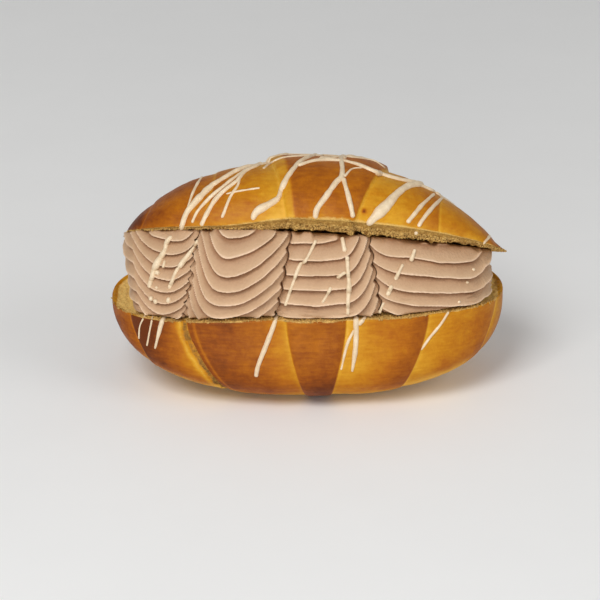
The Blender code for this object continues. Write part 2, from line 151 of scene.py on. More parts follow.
BASE_RELIEF = (0.52, 1.04, 1.17, 1.3, 1.17, 1.04, 0.52)
BASE = Half(80 * MM, 38 * MM, 2.3, 0.40, 0.46, 3.4, BASE_RELIEF, BASE_SEAMS)
BASE_BULGE = 0.14
KEEL_CURVE = 2.4
KEEL_RISE_LEFT = 0.50
KEEL_RISE_RIGHT = 0.42
BASE_SUNK = 0.5 * MM
FLATTER_BELOW = 0.7
BASE_TIP_HEIGHT = 35 * MM
LID_RELIEF = (0.9, 1.0, 0.5, 3.3, 0.4, 1.6, 0.8)
LID = Half(77.5 * MM, 38 * MM, 2.2, 0.50, 0.55, 2.3, LID_RELIEF, LID_SEAMS)
LID_HEIGHT = 29.8 * MM
LID_TAPER_RIGHT = 2.8
LID_FALL_LEFT = 0.74
LID_FALL_RIGHT = 1.3
CRUMB_STRIP = 4.8 * MM
CRUMB_STRIP_LEFT = 1.2 * MM
CRUMB_STRIP_DEPTH = 3.6 * MM
STRIP_WIDENS_FROM = -42 * MM
STRIP_WIDENS_OVER = 34 * MM
print("wraps on each half:", len(BASE.seams) + 1)


# %% Rules that both halves share
def smooth_step(value):
    """0 below 0, 1 above 1, and a smooth change between."""
    share = np.clip(value, 0, 1)
    return share * share * (3 - 2 * share)


def power(value, exponent):
    return np.sign(value) * np.abs(value) ** exponent


def along(half, x):
    """Distance from the middle as a share of the half length."""
    return np.clip(np.abs(x) / half.half_length, 0, 1)


def half_depth(half, x):
    fullness = np.where(x < 0, half.fullness_left, half.fullness_right)
    return half.half_depth * (1 - along(half, x) ** half.taper) ** fullness


def dip_at_left(x):
    return CUT_DIP_LEFT * smooth_step((CUT_DIP_STARTS - x) / CUT_DIP_LENGTH)


def cut_height(x):
    """Height of the cut through the base."""
    return CUT_HEIGHT - dip_at_left(x) - CUT_DIP_ENDS * along(BASE, x) ** 6


def seam_x(seam, turn):
    """Where a seam lies along X. turn goes from 0 at the front to half a circle at the back."""
    front, middle, back = (value * MM for value in seam)
    mean = (front + back) / 2
    return mean + (front - back) / 2 * np.cos(turn) + (middle - mean) * np.sin(turn)


def wrap_edges(half, wrap, turn):
    """Where a wrap starts and ends along X."""
    tip = np.full_like(turn, half.half_length)
    left = seam_x(half.seams[wrap - 1], turn) if wrap > 0 else -tip
    right = seam_x(half.seams[wrap], turn) if wrap < len(half.seams) else tip
    if wrap > MIDDLE_WRAP:
        left = left + SEAM_WIDTH
    if wrap < MIDDLE_WRAP:
        right = right - SEAM_WIDTH
    return left, right


def wrap_relief(half, wrap, place):
    """How far a wrap stands out: it swells away from the middle to its outer edge and rolls over."""
    if wrap < MIDDLE_WRAP:
        place = 1 - place
    elif wrap == MIDDLE_WRAP:
        place = np.maximum(place, 1 - place)
    swell = 1 - (1 - np.clip(place / THICKEST_PLACE, 0, 1)) ** 2
    roll_over = ROLL_OVER * np.clip((place - ROLL_PLACE) / (1 - ROLL_PLACE), 0, 1) ** 2
    fade = 1 - place if wrap in (0, len(half.seams)) else 1
    return half.relief[wrap] * MM * (swell - roll_over) * fade


print(f"the cut is {cut_height(0.0) / MM:.1f} mm high in the middle")


# %% The base's crust and the lid's crust
def base_point(x, turn, relief):
    relief = relief * np.clip((math.pi - turn) / HINGE_FADE, 0, 1)
    rim = cut_height(x)
    steepness = np.where(x < 0, KEEL_RISE_LEFT, KEEL_RISE_RIGHT)
    rise = 1 - (1 - along(BASE, x) ** KEEL_CURVE) ** steepness
    bottom = (BASE_TIP_HEIGHT + BASE_SUNK) * rise - BASE_SUNK
    exponent = 2 / BASE.squareness
    bulge = 1 + BASE_BULGE * np.abs(np.sin(2 * turn))
    y = -half_depth(BASE, x) * power(np.cos(turn), exponent) * bulge
    z = -(rim - bottom) * power(np.sin(turn), exponent)
    reach = np.hypot(y, z) + 1e-9
    relief = relief * (1 - FLATTER_BELOW * smooth_step((np.sin(turn) - 0.5) / 0.5))
    y, z = y * (1 + relief / reach), z * (1 + relief / reach)
    return np.stack([x, y, np.maximum(rim + z, 0)], axis=-1)


def lid_floor(x):
    return -LID_TIP_DROOP * along(LID, x) ** 2


def crumb_strip(x):
    """Height of the strip of crumb that shows along the lid's front edge, narrow at the left."""
    wide = smooth_step((x - STRIP_WIDENS_FROM) / STRIP_WIDENS_OVER)
    strip = CRUMB_STRIP_LEFT + (CRUMB_STRIP - CRUMB_STRIP_LEFT) * wide
    return strip * (1 - along(LID, x) ** 2.5)


def lid_point(x, turn, relief):
    relief = relief * np.clip((math.pi - turn) / HINGE_FADE, 0, 1)
    fall = np.where(x < 0, LID_FALL_LEFT, LID_FALL_RIGHT)
    taper = np.where(x < 0, LID.taper, LID_TAPER_RIGHT)
    height = LID_HEIGHT * (1 - along(LID, x) ** taper) ** fall
    exponent = 2 / LID.squareness
    y = -half_depth(LID, x) * power(np.cos(turn), exponent)
    z = height * power(np.sin(turn), exponent)
    lifted = crumb_strip(x) * np.clip(np.cos(turn), 0, 1) ** 6
    reach = np.hypot(y, z) + 1e-9
    y, z = y * (1 + relief / reach), z * (1 + relief / reach)
    return np.stack([x, y, lid_floor(x) + np.maximum(z, lifted)], axis=-1)


def lid_matrix():
    """Tips the lid open about the back edge of the cut, then leans it to the right."""
    hinge = Vector((LID_SHIFT, LID.half_depth, CUT_HEIGHT + LID_LIFT))
    tip_open = Matrix.Rotation(-LID_OPENING, 4, "X")
    lean = Matrix.Rotation(LID_LEAN, 4, "Y")
    return Matrix.Translation(hinge) @ lean @ tip_open @ Matrix.Translation((0, -LID.half_depth, 0))


def tip_open(points):
    """Moves points of the lid to where it lies on the cream."""
    turned = np.array(lid_matrix())
    return points @ turned[:3, :3].T + turned[:3, 3] + CENTRING


print(f"the lid is tipped open by {math.degrees(LID_OPENING):.1f} degrees")

# %% [markdown]
# Unevenness
# Dough and cream are never quite smooth. A noise texture on a modifier would do it, but a short
# array function gives the same lumps on any grid of points, and the same ones each time it runs.

# %% Noise for grids of points
NOISE_CELLS = 32


def soft_noise(points, size, seed):
    """Smooth lumps of the given size at the points, between -1 and 1."""
    heights = np.random.default_rng(seed).uniform(-1, 1, (NOISE_CELLS,) * 3)
    cell = points / size
    low = np.floor(cell).astype(int)
    share = smooth_step(cell - low)
    total = np.zeros(points.shape[:-1])
    for corner in np.ndindex(2, 2, 2):
        weight = np.prod(np.where(corner, share, 1 - share), axis=-1)
        x, y, z = np.moveaxis((low + corner) % NOISE_CELLS, -1, 0)
        total += weight * heights[x, y, z]
    return total


def away_from_axis(points, axis_height):
    """The direction from a half's long axis to each of its points."""
    away = points * (0, 1, 1) - (0, 0, axis_height)
    return away / (np.linalg.norm(away, axis=-1, keepdims=True) + 1 * MM)


# %% [markdown]
# From rings to a mesh
# Every closed form here is a stack of rings with a point at each end. One function turns such a
# stack into a mesh, turns its faces outwards and keeps values for each point, which the materials
# read as attributes: how brown the crust is, where the crumb shows and so on.

# %% Rings to mesh
def ring_mesh(name, rings, first_pole, last_pole, values):
    count, sides = rings.shape[:2]
    points = np.concatenate([rings.reshape(-1, 3), [first_pole, last_pole]])
    index = np.arange(count * sides).reshape(count, sides)
    turned = np.roll(index, -1, axis=1)
    quads = np.stack([index[:-1], turned[:-1], turned[1:], index[1:]], axis=-1).reshape(-1, 4)
    first = np.stack([np.full(sides, count * sides), turned[0], index[0]], axis=-1)
    last = np.stack([np.full(sides, count * sides + 1), index[-1], turned[-1]], axis=-1)
    faces = quads.tolist() + first.tolist() + last.tolist()
    corners = points[quads]
    volume = np.linalg.det(corners[:, :3]).sum() + np.linalg.det(corners[:, (0, 2, 3)]).sum()
    if volume < 0:
        faces = [face[::-1] for face in faces]
    mesh = bpy.data.meshes.new(name)
    mesh.from_pydata(points.tolist(), [], faces)
    for key, value in values.items():
        flat = value.reshape(count * sides, -1)
        flat = np.concatenate([flat, [flat[:sides].mean(axis=0), flat[-sides:].mean(axis=0)]])
        if flat.shape[1] == 1:
            mesh.attributes.new(key, "FLOAT", "POINT").data.foreach_set("value", flat.ravel())
        else:
            mesh.attributes.new(key, "FLOAT_VECTOR", "POINT").data.foreach_set("vector", flat.ravel())
    mesh.shade_smooth()
    return mesh


def new_piece(name, mesh):
    piece = linked(name, mesh)
    mesh.calc_loop_triangles()
    print(f"{name}: {len(mesh.loop_triangles)} triangles")
    return piece


# %% [markdown]
# The crust
# The baked crust is thin, shiny and browner where it stands out. Each wrap is pale gold where it
# slides out from under its neighbour, because it rose there late in the oven, and brown at its
# outer edge. The middle wrap lies on top of all the others and is brown all over. So browning
# follows the same (wrap, place) rule as the form, and is kept as an attribute.

# %% Spread the rings over the crust
RINGS_PER_WRAP = 50
GIRTH_POINTS = 130
# A curve is first measured in this many steps, and then divided evenly
FINE_STEPS = 4001


def even_turns(half, height, count):
    """Turns that give evenly spaced points round the middle of a half."""
    share = smooth_step(smooth_step(np.linspace(0, 1, FINE_STEPS))) * math.pi / 2
    turn = np.concatenate([share, share[1:] + math.pi / 2])
    exponent = 2 / half.squareness
    y = half.half_depth * power(np.cos(turn), exponent)
    z = height * power(np.sin(turn), exponent)
    length = np.append(0, np.cumsum(np.hypot(np.diff(y), np.diff(z))))
    return np.interp(np.linspace(0, length[-1], count), length, turn)


def crust_grid(half, point_of, height):
    """The crust's points with the wrap, place in the wrap and turn of each."""
    turn = even_turns(half, height, GIRTH_POINTS)
    rows = []
    for wrap in range(len(half.seams) + 1):
        places = (1 - np.cos(np.linspace(0, math.pi, RINGS_PER_WRAP))) / 2
        if wrap == 0:
            places = places[2:]
        if wrap == len(half.seams):
            places = places[:-2]
        left, right = wrap_edges(half, wrap, turn)
        for place in places:
            points = point_of(left + (right - left) * place, turn, wrap_relief(half, wrap, place))
            rows.append((points, np.full_like(turn, wrap), np.full_like(turn, place), turn))
    return [np.array(part) for part in zip(*rows)]


base_crust, base_wrap, base_place, base_turn = crust_grid(BASE, base_point, CUT_HEIGHT)
lid_crust, lid_wrap, lid_place, lid_turn = crust_grid(LID, lid_point, LID_HEIGHT)
print("rings and points:", base_crust.shape[:2])


# %% Browning, from 0 for pale gold to 1 for dark brown
# For each wrap from the left: at its edge nearer the middle, halfway and at its outer edge
BASE_BROWNING = (
    (0.60, 0.72, 0.76), (0.46, 0.74, 0.88), (0.48, 0.76, 0.84), (0.70, 0.66, 0.72),
    (0.28, 0.50, 0.66), (0.30, 0.50, 0.60), (0.38, 0.48, 0.56),
)
LID_BROWNING = (
    (0.80, 0.92, 1.02), (0.54, 0.68, 0.80), (0.26, 0.46, 0.60), (0.66, 0.60, 0.64),
    (0.28, 0.42, 0.52), (0.36, 0.48, 0.54), (0.60, 0.80, 0.92),
)
# Where a wrap comes out from under its neighbour it has a thin pale line, as a share of the wrap
PALE_LINE = 0.16
PALE_LINE_WIDTH = 0.035
# The base's lower front is browner, partly painted shade. Lower still, painted warm reflected light
# makes it golden, but not at the middle or the tips.
LOW_BROWNING_AND_SHADE = 0.10
LOW_STARTS = 0.25
LOW_CHANGES_OVER = 0.4
PAINTED_BOUNCE_GOLD = 0.75
BOUNCE_GOLD_STARTS = 0.62
BOUNCE_GOLD_RISES_AT_ENDS = 0.22
BOUNCE_GOLD_CHANGES_OVER = 0.34
BOUNCE_GOLD_ENDS = 0.72
BOUNCE_GOLD_FADES_OVER = 0.2
# The third wrap has a second pale line along its outer edge, as shares of the wrap
CREASED_WRAP = 2
CREASE_PLACE = 0.94
CREASE_WIDTH = 0.018
CREASE_PALENESS = 0.24
# The lid's middle wrap is pale over this share of it, at its left
LID_PALE_SIDE = 0.1
LID_PALE_FADE = 0.05
LID_PALE_CHANGE = 0.36


def outward_place(wrap, place):
    """Place in a wrap from its edge nearer the middle, 0, to its outer edge, 1."""
    return np.where(wrap < MIDDLE_WRAP, 1 - place, place)


def browning(table, wrap, place):
    outward = outward_place(wrap, place)
    table = np.array(table)[wrap.astype(int)]
    inner, middle, outer = table[..., 0], table[..., 1], table[..., 2]
    near = inner + (middle - inner) * smooth_step(outward / 0.5)
    bake = near + (outer - middle) * smooth_step((outward - 0.5) / 0.5)
    pale = np.exp(-((outward / PALE_LINE_WIDTH) ** 2)) * (wrap != MIDDLE_WRAP)
    return bake - PALE_LINE * pale


base_browning_and_painted_light = browning(BASE_BROWNING, base_wrap, base_place)
lid_bake = browning(LID_BROWNING, lid_wrap, lid_place)
pale_side = (lid_wrap == MIDDLE_WRAP) * smooth_step((LID_PALE_SIDE - lid_place) / LID_PALE_FADE + 0.5)
lid_bake -= LID_PALE_CHANGE * pale_side
steep = np.sin(base_turn)
# Partly painted shade: the base's lower front is made browner
base_browning_and_painted_light += LOW_BROWNING_AND_SHADE * smooth_step((steep - LOW_STARTS) / LOW_CHANGES_OVER)
# Painted warm reflected light: the underside is made golden
from_middle = along(BASE, base_crust[..., 0])
bounce_gold_start = BOUNCE_GOLD_STARTS - BOUNCE_GOLD_RISES_AT_ENDS * from_middle ** 2
bounce_lit_underside = smooth_step((steep - bounce_gold_start) / BOUNCE_GOLD_CHANGES_OVER)
bounce_lit_underside *= 1 - smooth_step((from_middle - BOUNCE_GOLD_ENDS) / BOUNCE_GOLD_FADES_OVER)
base_browning_and_painted_light -= PAINTED_BOUNCE_GOLD * bounce_lit_underside * (base_wrap != MIDDLE_WRAP)
creased = np.exp(-(((outward_place(base_wrap, base_place) - CREASE_PLACE) / CREASE_WIDTH) ** 2))
base_browning_and_painted_light -= CREASE_PALENESS * creased * (base_wrap == CREASED_WRAP)
print("browning of the base:", base_browning_and_painted_light.min().round(2), "to", base_browning_and_painted_light.max().round(2))

# %% [markdown]
# Darker and paler places
# Beyond that rule, the crust has marks that follow none. Most were left by the oven, and one, low on
# the middle wrap, is partly painted shade. They are listed by the place at which the camera sees
# each, its radius and how much browner the crust is there, so that they can be compared with the
# picture. A mark fades out smoothly and lies on the front only.

# %% Marks on the crust: across, down and radius in pixels, then the change in browning
BASE_MARKS = {
    "dark_left": (147, 326, 15, 0.20),
    "dark_left_low": (150, 345, 12, 0.10),
    "pale_low_left": (190, 366, 13, -0.16),
    "brown_second_wrap": (228, 330, 10, 0.10),
    "pale_second_wrap": (270, 352, 12, -0.08),
    # Partly painted shade: darkens the low part of the middle wrap
    "dark_and_shaded_middle_low": (318, 384, 20, 0.12),
    "brown_fourth_low": (405, 366, 14, 0.14),
    "pale_right_end": (491, 300, 10, -0.12),
    "red_left_end": (122, 322, 8, 0.12),
}
LID_MARKS = {
    "left_top": (190, 185, 18, 0.02),
    "left_tip": (134, 224, 12, 0.20),
    "pale_second_low": (280, 212, 12, -0.14),
    "pale_low_right": (400, 219, 14, -0.10),
    "speck": (364, 211, 2.2, 0.75),
    "right_tip": (496, 246, 9, 0.25),
    "top_dark": (322, 172, 22, 0.06),
}
FRONT_SIDE = 25 * MM
# Just above the cut, the lid's crust is thin and golden
PALE_EDGE = 0.14
PALE_EDGE_WIDTH = 3.5 * MM


def mark(points, marks):
    """The change in browning at points of the finished croissant."""
    change = np.zeros(points.shape[:-1])
    for across, down, radius, amount in marks.values():
        origin, ray = (np.array(part) for part in sight_line(across, down))
        distance = np.linalg.norm(np.cross(points - origin, ray), axis=-1)
        change += amount * np.exp(-((distance / (radius * PIXEL)) ** 2))
    return change * (points[..., 1] < FRONT_SIDE)


base_browning_and_painted_light += mark(base_crust + CENTRING, BASE_MARKS)
lid_bake += mark(tip_open(lid_crust), LID_MARKS)
above_strip = lid_crust[..., 2] - lid_floor(lid_crust[..., 0]) - crumb_strip(lid_crust[..., 0])
lid_bake -= PALE_EDGE * smooth_step(1 - above_strip / PALE_EDGE_WIDTH) * (lid_turn < FRONT_TURN)
print("marks:", len(BASE_MARKS) + len(LID_MARKS))

# %% Lumps, creases and the torn seam
LUMP_SIZE = 13 * MM
LUMP_HEIGHT = 0.38 * MM
RIPPLE_SIZE = 2.6 * MM
RIPPLE_HEIGHT = 0.10 * MM
TORN_SEAM_WRAP = 1
TORN_WIDTH = 0.11
FRINGE_PLACE = 0.14
FRINGE_WIDTH = 0.045
PALE_FRINGE = 0.28
TORN_EDGE = 0.04
TEAR_DEPTH = 1.3 * MM
TEAR_WANDER = 0.03
TEAR_CELL = 1.3 * MM
TEAR_CLUMP = 3.5 * MM


def roughen(crust, axis_height, seed):
    """Lumps and ripples of the crust."""
    lumps = soft_noise(crust, LUMP_SIZE, seed) * LUMP_HEIGHT
    ripples = soft_noise(crust, RIPPLE_SIZE, seed + 1) * RIPPLE_HEIGHT
    return crust + away_from_axis(crust, axis_height) * (lumps + ripples)[..., None]


def tear(crust, wrap, place, turn, seed):
    """A groove of torn dough beside one seam, with how torn and how frayed each point is."""
    wander = soft_noise(crust, 3 * MM, seed + 2)
    outward = outward_place(wrap, place) - TEAR_WANDER * wander
    on_side = (wrap == TORN_SEAM_WRAP) * smooth_step((0.97 - np.sin(turn)) / 0.2) * (turn < 2)
    groove = smooth_step((TORN_WIDTH - outward) / TORN_EDGE) * on_side
    fringe = np.exp(-(((outward - FRINGE_PLACE) / FRINGE_WIDTH) ** 2)) * on_side
    rough = soft_noise(crust, TEAR_CELL, seed) * 0.7 + soft_noise(crust, TEAR_CLUMP, seed + 1) * 0.5
    depth = groove * TEAR_DEPTH * (rough - 0.5) + fringe * 0.3 * TEAR_DEPTH * rough
    torn = groove * np.clip(0.8 + 0.4 * rough, 0, 1)
    return crust + away_from_axis(crust, CUT_HEIGHT) * depth[..., None], torn, fringe


base_crust = roughen(base_crust, CUT_HEIGHT, 11)
base_crust, base_torn, base_fringe = tear(base_crust, base_wrap, base_place, base_turn, 21)
base_browning_and_painted_light -= PALE_FRINGE * base_fringe
base_crust[..., 2] = np.maximum(base_crust[..., 2], 0)
lid_crust = roughen(lid_crust, 0, 31)
print(f"torn share of the base: {(base_torn > 0.5).mean():.3f}")

# %% [markdown]
# The crumb
# Where the knife went through, soft pale crumb shows: a thin rim round the base and a fuzzy strip
# along the lid's front. It is torn rather than cut, so its faces get fine, deep noise and their
# edges wander. The cut faces close each half, so crust and crumb stay one mesh.

# %% Close the base with its cut face
BASE_CUT_POINTS = 60
RIM_POINTS = 10
CRUMB_ROUGHNESS = 1.1 * MM
CRUMB_CELL = 1.1 * MM
CRUMB_CLUMP = 3.2 * MM
# At the two ends, where no cream lies on it, the crust rolls over the rim and the crumb has sunk
ROLLED_RIM = 3.2 * MM
END_HOLLOW = 1.2 * MM
# The ends begin and are in full at these shares of the half length
END_STARTS = 0.8
END_IN_FULL = 0.92
RIM_CRUMB = 0.8
# How much crumb shows in the torn seam and its fringe
TORN_CRUMB = 0.75
FRINGE_CRUMB = 0.3
# Tones of the crumb: 0 is its palest colour, 1 its darkest
# The torn groove's dark crumb tone is partly painted shade in the crease
TORN_TONE_AND_SHADE = 0.8
CUT_TONE = 0.02
ROLLED_RIM_BROWNING = 0.3


def crumb_lumps(points, seed):
    cells = soft_noise(points, CRUMB_CELL, seed)
    clumps = soft_noise(points, CRUMB_CLUMP, seed + 1)
    return 0.6 * cells + 0.4 * clumps


def rim_distance(points):
    """How far a point of the cut lies inside the base's outline."""
    inside = half_depth(BASE, points[..., 0]) - np.abs(points[..., 1])
    return np.minimum(inside, BASE.half_length - np.abs(points[..., 0]))


def at_ends(points):
    return smooth_step((along(BASE, points[..., 0]) - END_STARTS) / (END_IN_FULL - END_STARTS))


def base_rings():
    share = np.linspace(0, 1, BASE_CUT_POINTS + 1)[1:-1]
    share = (1 - np.cos(share * math.pi)) / 2
    front, back = base_crust[:, :1], base_crust[:, -1:]
    cut = back + (front - back) * share[None, :, None]
    cut[..., 2] = cut_height(cut[..., 0])
    inside = np.sin(share * math.pi) ** 0.5
    rolled = smooth_step(rim_distance(cut) / ROLLED_RIM)
    cut[..., 2] -= END_HOLLOW * at_ends(cut) * rolled
    roughness = CRUMB_ROUGHNESS * inside * (1 - 0.8 * at_ends(cut) * (1 - rolled))
    cut[..., 2] += (crumb_lumps(cut, 41) - 0.5) * roughness
    return np.concatenate([base_crust, cut], axis=1)


def with_cut(values, cut_value, cut_points):
    cut = np.full((len(values), cut_points), float(cut_value))
    return np.concatenate([values, cut], axis=1)


def rim_crumb(crust, turn):
    """How much crumb shows in the crust just below the rim, in an uneven line."""
    below = (CUT_HEIGHT - crust[..., 2] - dip_at_left(crust[..., 0])) / MM
    reach = 0.5 + 0.9 * soft_noise(crust, 4 * MM, 43)
    return RIM_CRUMB * smooth_step(reach - below) * (turn < FRONT_TURN) * (1 - at_ends(crust))


rings = base_rings() + CENTRING
cut_points = rings.shape[1] - GIRTH_POINTS
tip = np.array((BASE.half_length, 0, BASE_TIP_HEIGHT)) + CENTRING
far_tip = tip * (-1, 1, 1) + (2 * CENTRING[0], 0, 0)
frayed_seam = np.maximum(base_torn * TORN_CRUMB, base_fringe * FRINGE_CRUMB)
base_crumb = with_cut(np.maximum(frayed_seam, rim_crumb(base_crust, base_turn)), 1, cut_points)
cut_face = rings[:, GIRTH_POINTS:] - CENTRING
rolled_crust = at_ends(cut_face) * smooth_step(1.6 - rim_distance(cut_face) / (0.6 * ROLLED_RIM))
base_crumb[:, GIRTH_POINTS:] -= rolled_crust
base_values = {
    "bake": with_cut(base_browning_and_painted_light, ROLLED_RIM_BROWNING, cut_points),
    "crumb": base_crumb,
    "edge": with_cut(base_torn * TORN_TONE_AND_SHADE, CUT_TONE, cut_points),
}
base_crust_piece = new_piece("base_crust", ring_mesh("base_crust", rings, far_tip, tip, base_values))
base_rim = rings[:, -RIM_POINTS:]

# %% Close the lid with its crumb strip and cut face
STRIP_POINTS = 30
LID_CUT_POINTS = 34
STRIP_FUZZ = 1.3 * MM
# The knife tore the strip's lower edge away, most in the middle, and frayed the crust above it
STRIP_TORN = 0.5 * MM
FRAYED_EDGE = 1.5 * MM
FRAYED_CRUMB = 0.7
# Tone of the strip's crumb at its top, painted shade that darkens its lower edge, and the cut's tone
STRIP_TONE = 0.48
STRIP_PAINTED_SHADE = 0.37
LID_CUT_TONE = 0.2


def lid_rings():
    front_edge, back_edge = lid_crust[:, :1], lid_crust[:, -1:]
    depth_share = CRUMB_STRIP_DEPTH / (2 * LID.half_depth)
    low_edge = front_edge + (back_edge - front_edge) * depth_share
    low_edge[..., 2] = lid_floor(low_edge[..., 0])
    ragged = soft_noise(low_edge, 1.6 * MM, 51) + 0.7 * soft_noise(low_edge, 5 * MM, 52)
    ragged *= np.clip(0.25 + crumb_strip(low_edge[..., 0]) / CRUMB_STRIP, 0, 1)
    low_edge[..., 2] += ragged * STRIP_FUZZ
    low_edge[..., 2] += STRIP_TORN * crumb_strip(low_edge[..., 0]) / CRUMB_STRIP
    share = np.linspace(0, 1, LID_CUT_POINTS + 1)[1:, None]
    cut = back_edge + (low_edge - back_edge) * share[None]
    cut[..., 2] = lid_floor(cut[..., 0]) + (cut[..., 2] - lid_floor(cut[..., 0])) * share[:, 0]
    cut[..., 2] -= (crumb_lumps(cut, 53) - 0.2) * CRUMB_ROUGHNESS * np.sin(share[:, 0] * math.pi)
    rise = np.linspace(0, 1, STRIP_POINTS + 1)[1:-1, None]
    strip = low_edge + (front_edge - low_edge) * rise[None]
    fuzz = crumb_lumps(strip, 55) * STRIP_FUZZ * np.sin(rise[:, 0] * math.pi) ** 0.5
    strip[..., 1] -= fuzz * np.clip(crumb_strip(strip[..., 0]) / CRUMB_STRIP, 0.15, 1)
    return np.concatenate([lid_crust, cut, strip], axis=1)


rings = tip_open(lid_rings())
lid_cut = rings.shape[1] - GIRTH_POINTS
from_edge = np.linspace(1, 0, STRIP_POINTS - 1)
lid_edge_tones_and_shade = with_cut(np.zeros_like(lid_bake), LID_CUT_TONE, lid_cut)
# Painted shade: the strip's crumb darkens towards its lower edge, over the dark gap
strip_shaded_tones = STRIP_TONE + STRIP_PAINTED_SHADE * smooth_step((from_edge - 0.4) / 0.6)
lid_edge_tones_and_shade[:, 1 - STRIP_POINTS:] = strip_shaded_tones
lid_tips = [
    lid_matrix() @ Vector((side * LID.half_length, 0, float(lid_floor(LID.half_length))))
    + Vector(CENTRING)
    for side in (-1, 1)
]
strip_width = np.clip(crumb_strip(lid_crust[..., 0]) / CRUMB_STRIP, 0, 1)
frayed = FRAYED_EDGE * strip_width * (1 + soft_noise(lid_crust, 3 * MM, 57))
lid_frayed = smooth_step(1 - above_strip / (frayed + 0.1 * MM)) * (lid_turn < FRONT_TURN)
lid_values = {
    "bake": with_cut(lid_bake, 0.2, lid_cut),
    "crumb": with_cut(FRAYED_CRUMB * lid_frayed, 1, lid_cut),
    "edge": lid_edge_tones_and_shade,
}
lid_crust_piece = new_piece("lid_crust", ring_mesh("lid_crust", rings, *lid_tips, lid_values))
lid_strip = rings[:, 1 - STRIP_POINTS:]

# %% [markdown]
# Node helpers
# Materials and geometry trees are both built from nodes. One helper makes a node and gives each
# input either a fixed value or a link, which keeps the trees below readable.

# %% Make and link nodes
def give(tree, socket, value):
    if isinstance(value, bpy.types.NodeSocket):
        tree.links.new(value, socket)
    else:
        socket.default_value = value


def node(tree, kind, inputs=None, **settings):
    made = tree.nodes.new(kind)
    for name, value in settings.items():
        setattr(made, name, value)
    for name, value in (inputs or {}).items():
        give(tree, made.inputs[name], value)
    return made


def calc(tree, operation, first, second=0.0):
    return node(tree, "ShaderNodeMath", {0: first, 1: second}, operation=operation).outputs[0]


def plus(tree, first, second):
    return calc(tree, "ADD", first, second)


def minus(tree, first, second):
    return calc(tree, "SUBTRACT", first, second)


def times(tree, first, second):
    return calc(tree, "MULTIPLY", first, second)


def noise_at(tree, place, scale, seed, detail=1.0):
    """A noise texture's value, shifted so that it runs from about -0.5 to 0.5."""
    inputs = {"Vector": place, "W": seed, "Scale": scale, "Detail": detail}
    made = node(tree, "ShaderNodeTexNoise", inputs, noise_dimensions="4D")
    return minus(tree, made.outputs[0], 0.5)


def named(tree, name, kind="FLOAT"):
    """An attribute of the points, in a geometry tree."""
    return node(tree, "GeometryNodeInputNamedAttribute", {"Name": name}, data_type=kind).outputs[0]


def scaled(tree, vector, factor):
    inputs = {0: vector, "Scale": factor}
    return node(tree, "ShaderNodeVectorMath", inputs, operation="SCALE").outputs[0]


def spread(tree, value, low, high):
    """Stretches a value from 0 to 1 so that it runs from low to high."""
    return plus(tree, times(tree, value, high - low), low)


def colour(red, green, blue):
    """A colour given as it looks on screen, turned into the linear one that shaders use."""
    channels = (value / 255 for value in (red, green, blue))
    return (*(((c + 0.055) / 1.055) ** 2.4 if c > 0.04045 else c / 12.92 for c in channels), 1)


SOCKET_KINDS = {int: "NodeSocketInt", float: "NodeSocketFloat"}


def new_tree(name, kind, inputs, output, output_kind="NodeSocketFloat"):
    """A node group. Each input is given by its first value, or by its kind where it has none."""
    tree = bpy.data.node_groups.new(name, kind)
    for key, value in inputs.items():
        socket = SOCKET_KINDS.get(type(value), value)
        made = tree.interface.new_socket(key, in_out="INPUT", socket_type=socket)
        if socket != value:
            made.default_value = value
    tree.interface.new_socket(output, in_out="OUTPUT", socket_type=output_kind)
    source = tree.nodes.new("NodeGroupInput")
    target = tree.nodes.new("NodeGroupOutput")
    return tree, source.outputs, target.inputs


def new_geometry_tree(name, sizes):
    """A tree that takes a mesh, some sizes and a material, and gives a mesh."""
    inputs = {"Geometry": "NodeSocketGeometry", **sizes, "Material": "NodeSocketMaterial"}
    return new_tree(name, "GeometryNodeTree", inputs, "Geometry", "NodeSocketGeometry")


def end_tree(tree, geometry, source, target):
    """Makes instances real, because the export drops them, and gives the result its material."""
    real = node(tree, "GeometryNodeRealizeInstances", {0: geometry})
    made = node(
        tree, "GeometryNodeSetMaterial", {"Geometry": real.outputs[0], "Material": source["Material"]}
    )
    tree.links.new(made.outputs[0], target["Geometry"])


# %% [markdown]
# Two effects for every material
# Dough, crumb, cream and icing all vary in tone over some distance and have some grain. Both are
# shader groups, built once and placed in each material with its own sizes.

# %% Shader groups: patches and grain
def patches_group():
    """Soft patches of tone, from 0 to 1, at two sizes."""
    inputs = {
        "Scale": 100.0,
        "Fine Scale": 600.0,
        "Fine Share": 0.3,
    }
    tree, source, target = new_tree("patches", "ShaderNodeTree", inputs, "Tone")
    place = node(tree, "ShaderNodeTexCoord").outputs["Object"]
    large = node(tree, "ShaderNodeTexNoise", {"Vector": place, "Scale": source["Scale"], "Detail": 3.0})
    fine = node(
        tree, "ShaderNodeTexNoise", {"Vector": place, "Scale": source["Fine Scale"], "Detail": 2.0}
    )
    mixed = node(
        tree,
        "ShaderNodeMix",
        {0: source["Fine Share"], 2: large.outputs[0], 3: fine.outputs[0]},
    )
    steeper = times(tree, minus(tree, mixed.outputs[0], 0.5), 2.0)
    clipped = node(tree, "ShaderNodeClamp", {0: plus(tree, steeper, 0.5)})
    tree.links.new(clipped.outputs[0], target["Tone"])
    return tree


